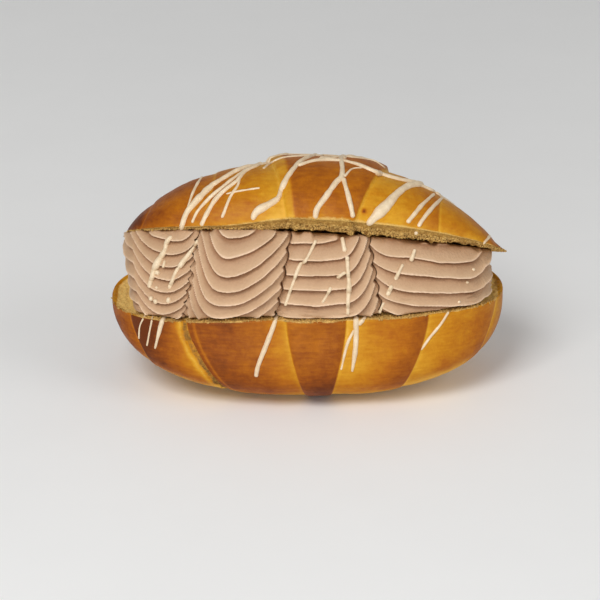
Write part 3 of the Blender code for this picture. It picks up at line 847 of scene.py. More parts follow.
def grain_group():
    """Fine relief as a height in metres, for a Bump node."""
    inputs = {
        "Scale": 1500.0,
        "Height": 0.0001,
        "Pore Scale": 700.0,
        "Pore Depth": 0.0,
    }
    tree, source, target = new_tree("grain", "ShaderNodeTree", inputs, "Relief")
    place = node(tree, "ShaderNodeTexCoord").outputs["Object"]
    noise = node(tree, "ShaderNodeTexNoise", {"Vector": place, "Scale": source["Scale"], "Detail": 4.0})
    pores = node(tree, "ShaderNodeTexVoronoi", {"Vector": place, "Scale": source["Pore Scale"]})
    relief = times(tree, noise.outputs[0], source["Height"])
    holes = times(tree, pores.outputs["Distance"], source["Pore Depth"])
    tree.links.new(plus(tree, relief, holes), target["Relief"])
    return tree


PATCHES = patches_group()
GRAIN = grain_group()
print("shader groups:", PATCHES.name, GRAIN.name)


# %% Material helpers
def new_material(name):
    material = bpy.data.materials.new(name)
    material.use_nodes = True
    return material, material.node_tree, material.node_tree.nodes["Principled BSDF"]


def placed(tree, group, inputs):
    """The output of a shared effect, placed in a material with its own sizes."""
    made = tree.nodes.new("ShaderNodeGroup")
    made.node_tree = group
    for name, value in inputs.items():
        give(tree, made.inputs[name], value)
    return made.outputs[0]


def ramp(tree, value, stops):
    """A colour ramp through {position: colour}."""
    made = node(tree, "ShaderNodeValToRGB", {0: value})
    elements = made.color_ramp.elements
    for spare in list(elements)[1:]:
        elements.remove(spare)
    positions = sorted(stops)
    elements[0].position = positions[0]
    elements[0].color = stops[positions[0]]
    for position in positions[1:]:
        elements.new(position).color = stops[position]
    return made.outputs[0]


def blend(tree, share, first, second):
    return node(tree, "ShaderNodeMix", {0: share, 6: first, 7: second}, data_type="RGBA").outputs[2]


def attribute(tree, name):
    return node(tree, "ShaderNodeAttribute", attribute_name=name).outputs["Fac"]


def relief(tree, shader, height):
    bump = node(tree, "ShaderNodeBump", {"Height": height, "Distance": 1.0, "Strength": 1.0})
    tree.links.new(bump.outputs[0], shader.inputs["Normal"])


# %% [markdown]
# Crust and crumb material
# The crust was brushed with egg, so it is smooth with a soft shine. Its colour runs from pale gold
# through orange to brown with the browning attribute, which on the base also holds painted light and
# shade, broken up by patches. The crumb is matt and cream coloured, and olive brown where its tone is
# darker: in random speckles, partly as painted shade in the torn seam's groove, and as painted shade
# along the lid strip's lower edge. One material mixes the two by attribute, so that the border
# between them can wander.

# %% Baked dough material
CRUST_COLOURS = {
    0.00: colour(224, 172, 62),
    0.22: colour(208, 150, 34),
    0.42: colour(190, 123, 14),
    0.60: colour(172, 98, 8),
    0.80: colour(140, 70, 5),
    1.00: colour(100, 44, 4),
}
CRUMB_COLOURS = {0.0: colour(232, 192, 112), 0.5: colour(160, 120, 58), 1.0: colour(104, 68, 32)}
CRUST_ROUGHNESS = (0.42, 0.56)
CRUMB_SURFACE_ROUGHNESS = 0.9
CRUST_SPECULAR = 0.16
EGG_WASH = 0.05
EGG_WASH_ROUGHNESS = 0.35
# Brushed on along the croissant, the egg leaves faint streaks, much longer than they are high
STREAK_STRETCH = (0.16, 0.5, 1.0)


def dough_material():
    material, tree, shader = new_material("baked_dough")
    tone = placed(tree, PATCHES, {"Scale": 70.0, "Fine Scale": 420.0, "Fine Share": 0.3})
    speckle = placed(tree, PATCHES, {"Scale": 900.0, "Fine Scale": 2600.0, "Fine Share": 0.5})
    place = node(tree, "ShaderNodeTexCoord").outputs["Object"]
    stretched = node(
        tree, "ShaderNodeVectorMath", {0: place, 1: STREAK_STRETCH}, operation="MULTIPLY"
    ).outputs[0]
    streaks = node(tree, "ShaderNodeTexNoise", {"Vector": stretched, "Scale": 900.0, "Detail": 3.0})
    bake = plus(tree, attribute(tree, "bake"), spread(tree, tone, -0.16, 0.16))
    bake = plus(tree, bake, spread(tree, speckle, -0.05, 0.05))
    bake = plus(tree, bake, spread(tree, streaks.outputs[0], -0.14, 0.14))
    crust = ramp(tree, bake, CRUST_COLOURS)
    depth = plus(tree, attribute(tree, "edge"), spread(tree, speckle, -0.3, 0.3))
    crumb = ramp(tree, depth, CRUMB_COLOURS)
    wandering = plus(tree, attribute(tree, "crumb"), spread(tree, speckle, -0.3, 0.3))
    mask = node(tree, "ShaderNodeMapRange", {0: wandering, 1: 0.3, 2: 0.7}).outputs[0]
    give(tree, shader.inputs["Base Color"], blend(tree, mask, crust, crumb))
    shine = spread(tree, tone, *CRUST_ROUGHNESS)
    rough = node(tree, "ShaderNodeMix", {0: mask, 2: shine, 3: CRUMB_SURFACE_ROUGHNESS}).outputs[0]
    give(tree, shader.inputs["Roughness"], rough)
    washed = minus(tree, 1.0, mask)
    give(tree, shader.inputs["Coat Weight"], times(tree, washed, EGG_WASH))
    shader.inputs["Coat Roughness"].default_value = EGG_WASH_ROUGHNESS
    shader.inputs["Specular IOR Level"].default_value = CRUST_SPECULAR
    smooth = placed(tree, GRAIN, {"Scale": 420.0, "Height": 0.00024, "Pore Depth": 0.00003})
    fuzzy = placed(
        tree, GRAIN, {"Scale": 1500.0, "Height": 0.0004, "Pore Scale": 900.0, "Pore Depth": 0.00012}
    )
    relief(tree, shader, node(tree, "ShaderNodeMix", {0: mask, 2: smooth, 3: fuzzy}).outputs[0])
    return material


DOUGH = dough_material()
for piece in (base_crust_piece, lid_crust_piece):
    piece.data.materials.append(DOUGH)
print("material:", DOUGH.name)


# %% Run a tree on an object and keep the plain mesh
def run_tree(piece, tree, inputs):
    modifier = piece.modifiers.new(tree.name, "NODES")
    modifier.node_group = tree
    for item in tree.interface.items_tree:
        if item.in_out == "INPUT" and item.name in inputs:
            modifier[item.identifier] = inputs[item.name]
    graph = bpy.context.evaluated_depsgraph_get()
    result = bpy.data.meshes.new_from_object(piece.evaluated_get(graph))
    piece.modifiers.clear()
    piece.data = result
    result.name = piece.name
    result.calc_loop_triangles()
    print(f"{piece.name}: {len(result.loop_triangles)} triangles from {tree.name}")


# %% [markdown]
# Loose crumbs
# The knife pulled small crumbs out of the soft dough. They hang on the lid's strip and lie along
# the base's front rim. They could be modelled one by one, but scattering is quicker and looks more
# natural: a Geometry Nodes tree puts small uneven balls at random places of a strip, each with its
# own size and turn. They are only a pixel or two wide, so a ball has no more than 20 faces.

# %% The geometry tree that scatters crumbs
def crumbs_tree():
    sizes = {
        "Crumbs For Each Square Metre": 1.5e6,
        "Smallest": 0.25 * MM,
        "Largest": 0.75 * MM,
        "Stretch": 2.4,
        "Unevenness": 0.35 * MM,
        "Seed": 5,
    }
    tree, source, target = new_geometry_tree("crumbs", sizes)
    places = node(
        tree,
        "GeometryNodeDistributePointsOnFaces",
        {
            "Mesh": source["Geometry"],
            "Density": source["Crumbs For Each Square Metre"],
            "Seed": source["Seed"],
        },
    )
    ball = node(tree, "GeometryNodeMeshIcoSphere", {"Radius": 1.0, "Subdivisions": 1})
    stretch = node(tree, "ShaderNodeCombineXYZ", {0: 1.0, 1: 1.0, 2: source["Stretch"]})
    size = node(
        tree,
        "FunctionNodeRandomValue",
        {2: source["Smallest"], 3: source["Largest"], "Seed": source["Seed"]},
        data_type="FLOAT",
    )
    turn = node(
        tree,
        "FunctionNodeRandomValue",
        {0: (0.0, 0.0, 0.0), 1: (math.tau, math.tau, math.tau), "Seed": source["Seed"]},
        data_type="FLOAT_VECTOR",
    )
    put = node(
        tree,
        "GeometryNodeInstanceOnPoints",
        {
            "Points": places.outputs[0],
            "Instance": ball.outputs[0],
            "Rotation": turn.outputs[0],
            "Scale": scaled(tree, stretch.outputs[0], size.outputs[1]),
        },
    )
    real = node(tree, "GeometryNodeRealizeInstances", {0: put.outputs[0]})
    position = node(tree, "GeometryNodeInputPosition").outputs[0]
    push = times(tree, noise_at(tree, position, 1400.0, 1.0, 2.0), source["Unevenness"])
    normal = node(tree, "GeometryNodeInputNormal").outputs[0]
    moved = node(
        tree,
        "GeometryNodeSetPosition",
        {"Geometry": real.outputs[0], "Offset": scaled(tree, normal, push)},
    )
    end_tree(tree, moved.outputs[0], source, target)
    return tree


CRUMBS = crumbs_tree()


def crumb_material():
    material, tree, shader = new_material("loose_crumb")
    tone = placed(tree, PATCHES, {"Scale": 320.0, "Fine Scale": 1800.0, "Fine Share": 0.4})
    give(tree, shader.inputs["Base Color"], ramp(tree, spread(tree, tone, 0.0, 0.7), CRUMB_COLOURS))
    shader.inputs["Roughness"].default_value = CRUMB_SURFACE_ROUGHNESS
    relief(tree, shader, placed(tree, GRAIN, {"Scale": 2400.0, "Height": 0.0002}))
    return material


LOOSE_CRUMB = crumb_material()


def grid_mesh(name, grid):
    """An open mesh over a grid of points."""
    count, sides = grid.shape[:2]
    index = np.arange(count * sides).reshape(count, sides)
    quads = np.stack([index[:-1, :-1], index[:-1, 1:], index[1:, 1:], index[1:, :-1]], axis=-1)
    mesh = bpy.data.meshes.new(name)
    mesh.from_pydata(grid.reshape(-1, 3).tolist(), [], quads.reshape(-1, 4).tolist())
    return mesh


# %% Scatter the crumbs
RING_STEP = 4
# Where each piece's crumbs lie, how many there are for each square metre, their smallest and
# largest radius in mm, and a seed
CRUMB_PLACES = {
    "lid_crumbs": (lid_strip[::RING_STEP, :16:3], 4.5e6, 0.13, 0.42, 5),
    "base_rim_crumbs": (base_rim[::RING_STEP], 1.2e6, 0.16, 0.45, 6),
}
crumb_pieces = []
for name, (grid, density, smallest, largest, seed) in CRUMB_PLACES.items():
    piece = linked(name, grid_mesh(name, grid))
    crumb_sizes = {
        "Crumbs For Each Square Metre": density,
        "Smallest": smallest * MM,
        "Largest": largest * MM,
        "Seed": seed,
        "Material": LOOSE_CRUMB,
    }
    run_tree(piece, CRUMBS, crumb_sizes)
    piece.data.shade_smooth()
    crumb_pieces.append(piece)

# %% [markdown]
# The cream
# Truffle cream is piped with a star nozzle that is moved to and fro, so each swirl is a pile of
# layers. A layer's lip is thin and catches the light, and it is dark under the lip. This is a main
# form that follows a rule, so Geometry Nodes make it: the input is the swirl's smooth form, and the
# tree pushes each point out by a curve that repeats with height. Its inputs say how far apart
# the lips are, how they slope, how they curl up at the swirl's sides, and where two swirls meet.

# %% Sizes of the swirls
# Each side of a swirl along X in mm at the height of the cut, and its lean to the right for each
# metre up. Neighbours share a side and are pressed against each other there.
SWIRL_SIDES = ((-68.1, -0.12), (-49.5, 0.18), (-13, 0.18), (29.7, -0.18), (71.1, 0.0))
LEAN_HEIGHT = 32 * MM
SIDE_OVERLAP = 3.2 * MM
# The swirl to the left of a shared side presses the ends of its layers into its neighbour
SCALLOP_DEPTH = 1.9 * MM
SWIRL_SQUARENESS = 5.5
LIP_DEPTH = 2.3 * MM
INSET_BELOW = 0.2 * MM
INSET_ABOVE = 1.4 * MM
BACK_INSET = 1.8 * MM
CREAM_BACK_EDGE = 27 * MM
DROP_WIDTH = 6 * MM
# How far the cream swells up to the lid's torn edge between its gaps, in mm, and from which share
# of its height up
TOP_RISE = 1.3
TOP_STARTS = 0.8
ROUNDING_BELOW = 22.0
ROUNDING_ABOVE = 28.0


@dataclass
class Swirl:
    """One piped swirl, in mm: its bulge, how far its top stays below the lid, and its lips."""

    name: str
    left: tuple
    right: tuple
    bulge: float
    top_drop: float
    lip_spacing: float
    first_lip: float
    slope: float
    # Height and width of the lips' curl at either side
    curl_left: tuple
    curl_right: tuple
    # How torn the cream is near the rim, and how deep the gaps under the lid are
    torn: float
    notch: float


SWIRLS = tuple(
    Swirl(f"cream_swirl_{number + 1}", *SWIRL_SIDES[number:number + 2], *sizes)
    for number, sizes in enumerate((
        (2.5, 0.2, 4.8, -2.1, 0.05, (7, 10), (6, 11), 0.8, 0.0),
        (6.0, 0.2, 6.4, -0.3, 0.0, (18, 14), (16, 27), 0.5, 0.3),
        (3.2, 0.6, 6.05, 0.3, 0.04, (0, 1), (13, 15), 2.0, 0.6),
        (2.2, 1.3, 6.1, 1.6, -0.22, (3, 11), (2.5, 7), 3.0, 0.6),
    ))
)
print("swirls:", [swirl.name for swirl in SWIRLS])


# %% The smooth form of a swirl, between the base and the lid
def under_lid(x, y):
    """Height of the lid's cut face above the point (x, y), as it lies tipped open."""
    matrix = lid_matrix()
    origin, up = matrix.translation, matrix.to_3x3() @ Vector((0, 0, 1))
    plane = origin.z - ((x - origin.x) * up.x + (y - origin.y) * up.y) / up.z
    return plane + lid_floor(x - LID_SHIFT) / up.z


def lid_front(x):
    """Y of the lid's front edge above the base, as it lies tipped open."""
    reach = LID.half_depth + half_depth(LID, x - LID_SHIFT)
    return LID.half_depth - reach * math.cos(LID_OPENING)


def side_x(side, height):
    """Where a side of a swirl is along X, at a share of the way from the base to the lid."""
    x, lean = side
    return x * MM + lean * LEAN_HEIGHT * height


def swirl_surface(swirl, turn, radius, height):
    """A point of the swirl without lips. turn goes round it, with a quarter turn at the front."""
    exponent = 2 / SWIRL_SQUARENESS
    left, right = side_x(swirl.left, height), side_x(swirl.right, height)
    half_width = (right - left) / 2 + SIDE_OVERLAP
    x = (left + right) / 2 + half_width * radius * power(np.cos(turn), exponent)
    inside = np.clip(x, -BASE.half_length + 3 * MM, BASE.half_length - 3 * MM)
    low_front = -half_depth(BASE, inside) + INSET_BELOW
    high_front = lid_front(inside) + INSET_ABOVE
    bulge = swirl.bulge * MM * 4 * height * (1 - height)
    front = low_front + (high_front - low_front) * height - bulge
    back = np.minimum(half_depth(BASE, inside) - BACK_INSET, CREAM_BACK_EDGE)
    across = -radius * power(np.sin(turn), exponent)
    y = (front + back) / 2 + (back - front) / 2 * across
    low = cut_height(x) + GAP
    near_front = smooth_step(1 - (y - high_front) / DROP_WIDTH)
    high = under_lid(x, y) - (2 * GAP + swirl.top_drop * MM) * near_front
    points = np.stack([x, y, low + (high - low) * height], axis=-1)
    gaps = soft_noise(points * (1, 0.2, 0), 3.6 * MM, 61) * 0.8 + soft_noise(points, 9 * MM, 62) * 0.5
    notch = (swirl.notch + TOP_RISE) * smooth_step(gaps + 0.35) - TOP_RISE
    near_top = smooth_step((height - TOP_STARTS) / (1 - TOP_STARTS))
    points[..., 2] -= notch * MM * near_front * near_top
    return points


# %% Build the form as a fine grid
FRONT_COLUMNS = 255
BACK_COLUMNS = 22
CREAM_ROWS = 262


def even_front_turns(swirl, count):
    """Turns round the swirl's front that give evenly spaced points."""
    angle = np.linspace(0, math.pi, FINE_STEPS)
    steep = SWIRL_SQUARENESS / 2
    fine = np.arctan2(power(np.sin(angle), steep), power(np.cos(angle), steep))
    line = swirl_surface(swirl, fine, 1.0, 0.5)
    length = np.append(0, np.cumsum(np.linalg.norm(np.diff(line, axis=0), axis=1)))
    return np.interp(np.linspace(0, length[-1], count), length, fine)


def row_heights():
    """Heights and radii of the rows, evenly spaced along the wall and its rounded ends."""
    height = np.concatenate([
        np.linspace(0, 1, FINE_STEPS) ** 3 * 0.5,
        1 - np.linspace(1, 0, FINE_STEPS)[1:] ** 3 * 0.5,
    ])
    rounding = np.where(height < 0.5, ROUNDING_BELOW, ROUNDING_ABOVE)
    radius = (1 - np.abs(2 * height - 1) ** rounding) ** (1 / rounding)
    length = np.append(0, np.cumsum(np.hypot(np.diff(height), 0.25 * np.diff(radius))))
    even = np.interp(np.linspace(0, length[-1], CREAM_ROWS), length, np.arange(len(length)))
    steps = np.arange(len(height))
    return np.interp(even, steps, height)[1:-1], np.interp(even, steps, radius)[1:-1]


def swirl_form(swirl):
    """The swirl's smooth form, with the way out and the strength of the lips at each point."""
    front = even_front_turns(swirl, FRONT_COLUMNS)
    back = np.linspace(math.pi, 2 * math.pi, BACK_COLUMNS + 2)[1:-1]
    turns = np.concatenate([front, back])
    height, radius = row_heights()
    turn, radius_grid = np.meshgrid(turns, radius)
    height_grid = np.repeat(height[:, None], len(turns), axis=1)
    rings = swirl_surface(swirl, turn, radius_grid, height_grid)
    away = np.stack([np.cos(turn), -np.sin(turn), np.zeros_like(turn)], axis=-1)
    values = {
        "wall": smooth_step((radius_grid - 0.86) / 0.1),
        "outward": away,
        "height": height_grid,
    }
    poles = rings[0].mean(axis=0) + CENTRING, rings[-1].mean(axis=0) + CENTRING
    return ring_mesh(swirl.name, rings + CENTRING, *poles, values)


# %% Which layer a point is in
CURL_POWER = 2.4
# Scales of the lips' slow and fast wandering, for each metre, and the fast one's share
SLOW_WANDER = 45.0
FAST_WANDER = 130.0
FAST_SHARE = 0.25


def curl_nodes(tree, distance, height, width):
    """How far the lips curl up at a distance from a swirl's side."""
    near = node(tree, "ShaderNodeMapRange", {0: distance, 1: 0.0, 2: width, 3: 1.0, 4: 0.0}).outputs[0]
    return times(tree, calc(tree, "POWER", near, CURL_POWER), height)


def layer_count(tree, source, position):
    """Layers below a point, whole at each lip. The lips slope, curl up at the sides and wander."""
    x, y, z = node(tree, "ShaderNodeSeparateXYZ", {0: position}).outputs
    above_cut = minus(tree, z, source["Cut Height"])
    lean_left = times(tree, above_cut, source["Left Lean"])
    lean_right = times(tree, above_cut, source["Right Lean"])
    from_left = minus(tree, minus(tree, x, source["Left"]), lean_left)
    from_right = plus(tree, minus(tree, source["Right"], x), lean_right)
    rise = minus(tree, above_cut, source["First Lip"])
    rise = minus(tree, rise, times(tree, from_left, source["Slope"]))
    for distance, side in ((from_left, "Left"), (from_right, "Right")):
        curl = curl_nodes(tree, distance, source[side + " Curl"], source[side + " Curl Width"])
        rise = minus(tree, rise, curl)
    slow = noise_at(tree, position, SLOW_WANDER, source["Seed"])
    fast = noise_at(tree, position, FAST_WANDER, source["Seed"])
    wander = times(tree, plus(tree, slow, times(tree, fast, FAST_SHARE)), source["Unevenness"])
    return plus(tree, calc(tree, "DIVIDE", rise, source["Lip Spacing"]), wander)


# %% How far each point of a layer stands out
# From one lip, 0, up to the next, 1: how far the layer stands out, from its groove, 0, to its lip, 1
LIP_PROFILE = (
    (0.0, 1.0), (0.07, 0.94), (0.14, 0.72), (0.3, 0.52), (0.55, 0.34), (0.78, 0.1), (0.88, 0.0),
    (0.95, 0.3), (1.0, 1.0),
)
# The nozzle's marks run along the layers: their number for each metre, and for each layer
MARKS_ALONG = 90.0
MARKS_ON_LAYER = 5.0
# Torn patches lie below this height above the rim, and their marks are this much deeper
TORN_BELOW = 10 * MM
TORN_IN_FULL_BELOW = 1 * MM
TORN_PATCHES = 110.0
TORN_PATCHES_SEED = 7.0
TORN_MARKS = 7.0


def lip_nodes(tree, count):
    profile = node(tree, "ShaderNodeFloatCurve", {1: calc(tree, "FRACT", count)})
    curve = profile.mapping.curves[0]
    curve.points[0].location = LIP_PROFILE[0]
    curve.points[1].location = LIP_PROFILE[-1]
    for point in LIP_PROFILE[1:-1]:
        curve.points.new(*point)
    profile.mapping.update()
    return profile.outputs[0]


def nozzle_marks(tree, source, position, count):
    """Fine streaks along the layers, deeper where the cream is torn near the rim."""
    x, y, z = node(tree, "ShaderNodeSeparateXYZ", {0: position}).outputs
    streak_place = node(
        tree,
        "ShaderNodeCombineXYZ",
        {
            0: times(tree, x, MARKS_ALONG),
            1: times(tree, y, MARKS_ALONG),
            2: times(tree, count, MARKS_ON_LAYER),
        },
    ).outputs[0]
    streaks = noise_at(tree, streak_place, 1.0, source["Seed"], 3.0)
    above_cut = minus(tree, z, source["Cut Height"])
    torn_heights = {0: above_cut, 1: TORN_BELOW, 2: TORN_IN_FULL_BELOW}
    near_rim = node(tree, "ShaderNodeMapRange", torn_heights).outputs[0]
    patches = noise_at(tree, position, TORN_PATCHES, TORN_PATCHES_SEED)
    patchy = node(tree, "ShaderNodeMapRange", {0: patches, 1: -0.02, 2: 0.15}).outputs[0]
    torn = times(tree, times(tree, near_rim, patchy), source["Torn"])
    depth = times(tree, source["Nozzle Marks"], plus(tree, times(tree, torn, TORN_MARKS), 1.0))
    return times(tree, streaks, depth)


# %% How neighbours press against each other
def side_plane(tree, source, side, up):
    """Where a side is along X, with the rounded ends of the layers of the swirl at its left."""
    above_start = minus(tree, up, source[side + " Scallop Start"])
    turns = calc(tree, "DIVIDE", above_start, source[side + " Scallop Spacing"])
    wave = calc(tree, "ABSOLUTE", calc(tree, "SINE", times(tree, turns, math.pi)))
    scallops = times(tree, minus(tree, wave, 0.5), source["Scallop Depth"])
    plane = plus(tree, source[side], times(tree, up, source[side + " Lean"]))
    return plus(tree, plane, scallops)


def pressed_place(tree, source):
    """Each point's place, kept between the swirl's two sides."""
    place = node(tree, "GeometryNodeInputPosition").outputs[0]
    x, y, z = node(tree, "ShaderNodeSeparateXYZ", {0: place}).outputs
    up = minus(tree, z, source["Cut Height"])
    # A side that isn't shared is moved a metre away, where it presses nothing
    left = plus(tree, side_plane(tree, source, "Left", up), GAP / 2)
    left = minus(tree, left, minus(tree, 1.0, source["Left Is Shared"]))
    right = minus(tree, side_plane(tree, source, "Right", up), GAP / 2)
    right = plus(tree, right, minus(tree, 1.0, source["Right Is Shared"]))
    pressed = calc(tree, "MINIMUM", calc(tree, "MAXIMUM", x, left), right)
    return node(tree, "ShaderNodeCombineXYZ", {0: pressed, 1: y, 2: z}).outputs[0]


# %% The geometry tree that pipes the lips
DEPTH_SCALE = 80.0
DEPTH_UNEVENNESS = 1.8


def piped_lips_tree():
    sizes = {
        "Cut Height": CUT_HEIGHT,
        "Scallop Depth": SCALLOP_DEPTH,
        "Lip Spacing": 6.4 * MM,
        "Lip Depth": LIP_DEPTH,
        "First Lip": 0.0,
        "Slope": 0.0,
        "Unevenness": 0.6,
        "Nozzle Marks": 0.4 * MM,
        "Torn": 0.0,
        "Seed": 0.0,
    }
    for side, place in (("Left", -20 * MM), ("Right", 20 * MM)):
        sizes |= {
            side: place,
            side + " Lean": 0.0,
            side + " Is Shared": 1.0,
            side + " Scallop Start": 0.0,
            side + " Scallop Spacing": 6.4 * MM,
            side + " Curl": 0.0,
            side + " Curl Width": 10 * MM,
        }
    tree, source, target = new_geometry_tree("piped_lips", sizes)
    position = node(tree, "GeometryNodeInputPosition").outputs[0]
    count = layer_count(tree, source, position)
    lip = lip_nodes(tree, count)
    uneven = noise_at(tree, position, DEPTH_SCALE, source["Seed"])
    uneven_depth = plus(tree, times(tree, uneven, DEPTH_UNEVENNESS), 1.0)
    stand_out = times(tree, minus(tree, lip, 0.5), source["Lip Depth"])
    stand_out = times(tree, stand_out, uneven_depth)
    reach = plus(tree, stand_out, nozzle_marks(tree, source, position, count))
    on_wall = times(tree, reach, named(tree, "wall"))
    kept = node(
        tree,
        "GeometryNodeStoreNamedAttribute",
        {"Geometry": source["Geometry"], "Name": "lip", "Value": lip},
        data_type="FLOAT",
        domain="POINT",
    )
    offset = scaled(tree, named(tree, "outward", "FLOAT_VECTOR"), on_wall)
    moved = node(tree, "GeometryNodeSetPosition", {"Geometry": kept.outputs[0], "Offset": offset})
    pressed = {"Geometry": moved.outputs[0], "Position": pressed_place(tree, source)}
    fitted = node(tree, "GeometryNodeSetPosition", pressed)
    end_tree(tree, fitted.outputs[0], source, target)
    return tree


PIPED_LIPS = piped_lips_tree()
print("geometry tree:", PIPED_LIPS.name, "with", len(PIPED_LIPS.nodes), "nodes")

# %% [markdown]
# Cream material
# The cream is matt and faintly greasy, milk-chocolate brown with a little pink. Its thin lips let
# some light through, and a painted highlight makes them paler still; painted shade makes the grooves
# darker and warmer.

# %% Cream material
# Painted light: from painted shade in the grooves, 0, to a painted highlight on the lips, 1
CREAM_LIT_AND_SHADED_COLOURS = {
    0.0: colour(146, 104, 72),
    0.3: colour(180, 142, 108),
    0.7: colour(201, 166, 131),
    0.88: colour(213, 180, 146),
    1.0: colour(232, 200, 168),
}
CREAM_ROUGHNESS = (0.5, 0.64)
CREAM_SPECULAR = 0.3


def cream_material():
    material, tree, shader = new_material("truffle_cream")
    tone = placed(tree, PATCHES, {"Scale": 120.0, "Fine Scale": 900.0, "Fine Share": 0.35})
    lip_lit_level = plus(tree, attribute(tree, "lip"), spread(tree, tone, -0.12, 0.12))
    give(tree, shader.inputs["Base Color"], ramp(tree, lip_lit_level, CREAM_LIT_AND_SHADED_COLOURS))
    give(tree, shader.inputs["Roughness"], spread(tree, tone, *CREAM_ROUGHNESS))
    shader.inputs["Specular IOR Level"].default_value = CREAM_SPECULAR
    grain = placed(
        tree, GRAIN, {"Scale": 800.0, "Height": 0.0003, "Pore Scale": 1000.0, "Pore Depth": 0.00008}
    )
    relief(tree, shader, grain)
    return material


CREAM = cream_material()

# %% Pipe the four swirls
def scallop_start(swirl):
    """Height above the cut at which a swirl's first lip meets its right side."""
    width = (swirl.right[0] - swirl.left[0]) * MM
    return (swirl.first_lip + swirl.curl_right[0]) * MM + swirl.slope * width


cream_pieces = []
for number, swirl in enumerate(SWIRLS):
    piece = new_piece(swirl.name + "_piped", swirl_form(swirl))
    lip_sizes = {
        "Lip Spacing": swirl.lip_spacing * MM,
        "First Lip": swirl.first_lip * MM,
        "Slope": swirl.slope,
        "Torn": swirl.torn,
        "Seed": float(number),
        "Material": CREAM,
    }
    for name, side, curl, presses in (
        ("Left", swirl.left, swirl.curl_left, SWIRLS[max(number - 1, 0)]),
        ("Right", swirl.right, swirl.curl_right, swirl),
    ):
        lip_sizes |= {
            name: side[0] * MM + float(CENTRING[0]),
            name + " Lean": side[1],
            name + " Is Shared": float(side in SWIRL_SIDES[1:-1]),
            name + " Scallop Start": scallop_start(presses),
            name + " Scallop Spacing": presses.lip_spacing * MM,
            name + " Curl": curl[0] * MM,
            name + " Curl Width": curl[1] * MM,
        }
    run_tree(piece, PIPED_LIPS, lip_sizes)
    cream_pieces.append(piece)

# %% [markdown]
# The icing
# Thin sugar icing was flicked over the croissant from a spoon. Its strands could be drawn on the
# surface by hand, but here their routes are the lines that the camera sees: each is a short list of
# places in the picture, which is cast along the camera's sight lines onto the crust or cream. The
# tube along each route is a Geometry Nodes tree. It lies half in the surface, and its thickness
# varies with beads and thin stretches. The strands that run on over the back are cast from above.

# %% Cast routes onto the pieces
def surface_tree(pieces):
    """One search tree over several pieces."""
    points, faces = [], []
    for piece in pieces:
        start = len(points)
        points += [tuple(v.co) for v in piece.data.vertices]
        faces += [tuple(start + i for i in face.vertices) for face in piece.data.polygons]
    return BVHTree.FromPolygons(points, faces)


def through(points, step):
    """A smooth line through the points, each row two places and a width, sampled every step."""
    points = np.array(points, float)
    padded = np.concatenate([[2 * points[0] - points[1]], points, [2 * points[-1] - points[-2]]])
    line = []
    for i in range(1, len(padded) - 2):
        before, start, end, after = padded[i - 1:i + 3]
        count = max(2, int(np.hypot(*(end - start)[:2]) / step))
        for t in np.arange(count) / count:
            bend = 2 * before - 5 * start + 4 * end - after + t * (3 * (start - end) + after - before)
            line.append(start + 0.5 * t * (end - before + t * bend))
    return np.array(line + [points[-1]])


def settle(values, window):
    """Moving average that keeps the ends."""
    padded = np.concatenate([[values[0]] * window, values, [values[-1]] * window])
    kernel = np.ones(2 * window + 1) / (2 * window + 1)
    return np.stack([np.convolve(column, kernel, "valid") for column in padded.T], axis=-1)


ROUTE_STEP = 0.7
# How deep a strand's middle lies in the surface, as a share of its width
SUNK = 0.12
# A strand on the cream bridges hollows that are up to this many steps away
BRIDGE = 3


def lay_on(surface, route, bridge):
    """Places of a strand: casts its route onto a surface and smooths it, bridging small hollows."""
    depths, rays, widths = [], [], []
    for across, down, width in through(route, ROUTE_STEP):
        origin, ray = sight_line(across, down)
        hit = surface.ray_cast(origin, ray)
        if hit[0] is None:
            continue
        depths.append(hit[3])
        rays.append((origin, ray))
        widths.append(width * PIXEL)
    depths = np.array(depths)
    if bridge:
        padded = np.pad(depths, bridge, mode="edge")
        depths = np.array([padded[i:i + 2 * bridge + 1].min() for i in range(len(depths))])
    depths = settle(depths[:, None], 2)[:, 0] + SUNK * np.array(widths)
    points = np.array([origin + ray * depth for (origin, ray), depth in zip(rays, depths)])
    return points, np.array(widths)


ABOVE = 0.2
DOWN = Vector((0, 0, -1))
BACK_STEP = 0.3


def lay_from_above(surface, route):
    """Places of a strand on the back: its route is X, Y and width in mm, cast straight down."""
    points, widths = [], []
    for x, y, width in through(route, BACK_STEP):
        hit = surface.ray_cast(Vector((x * MM, y * MM, ABOVE)), DOWN)
        if hit[0] is not None:
            points.append(hit[0] - hit[1] * SUNK * width * MM)
            widths.append(width * MM)
    return settle(np.array(points), 2), np.array(widths)


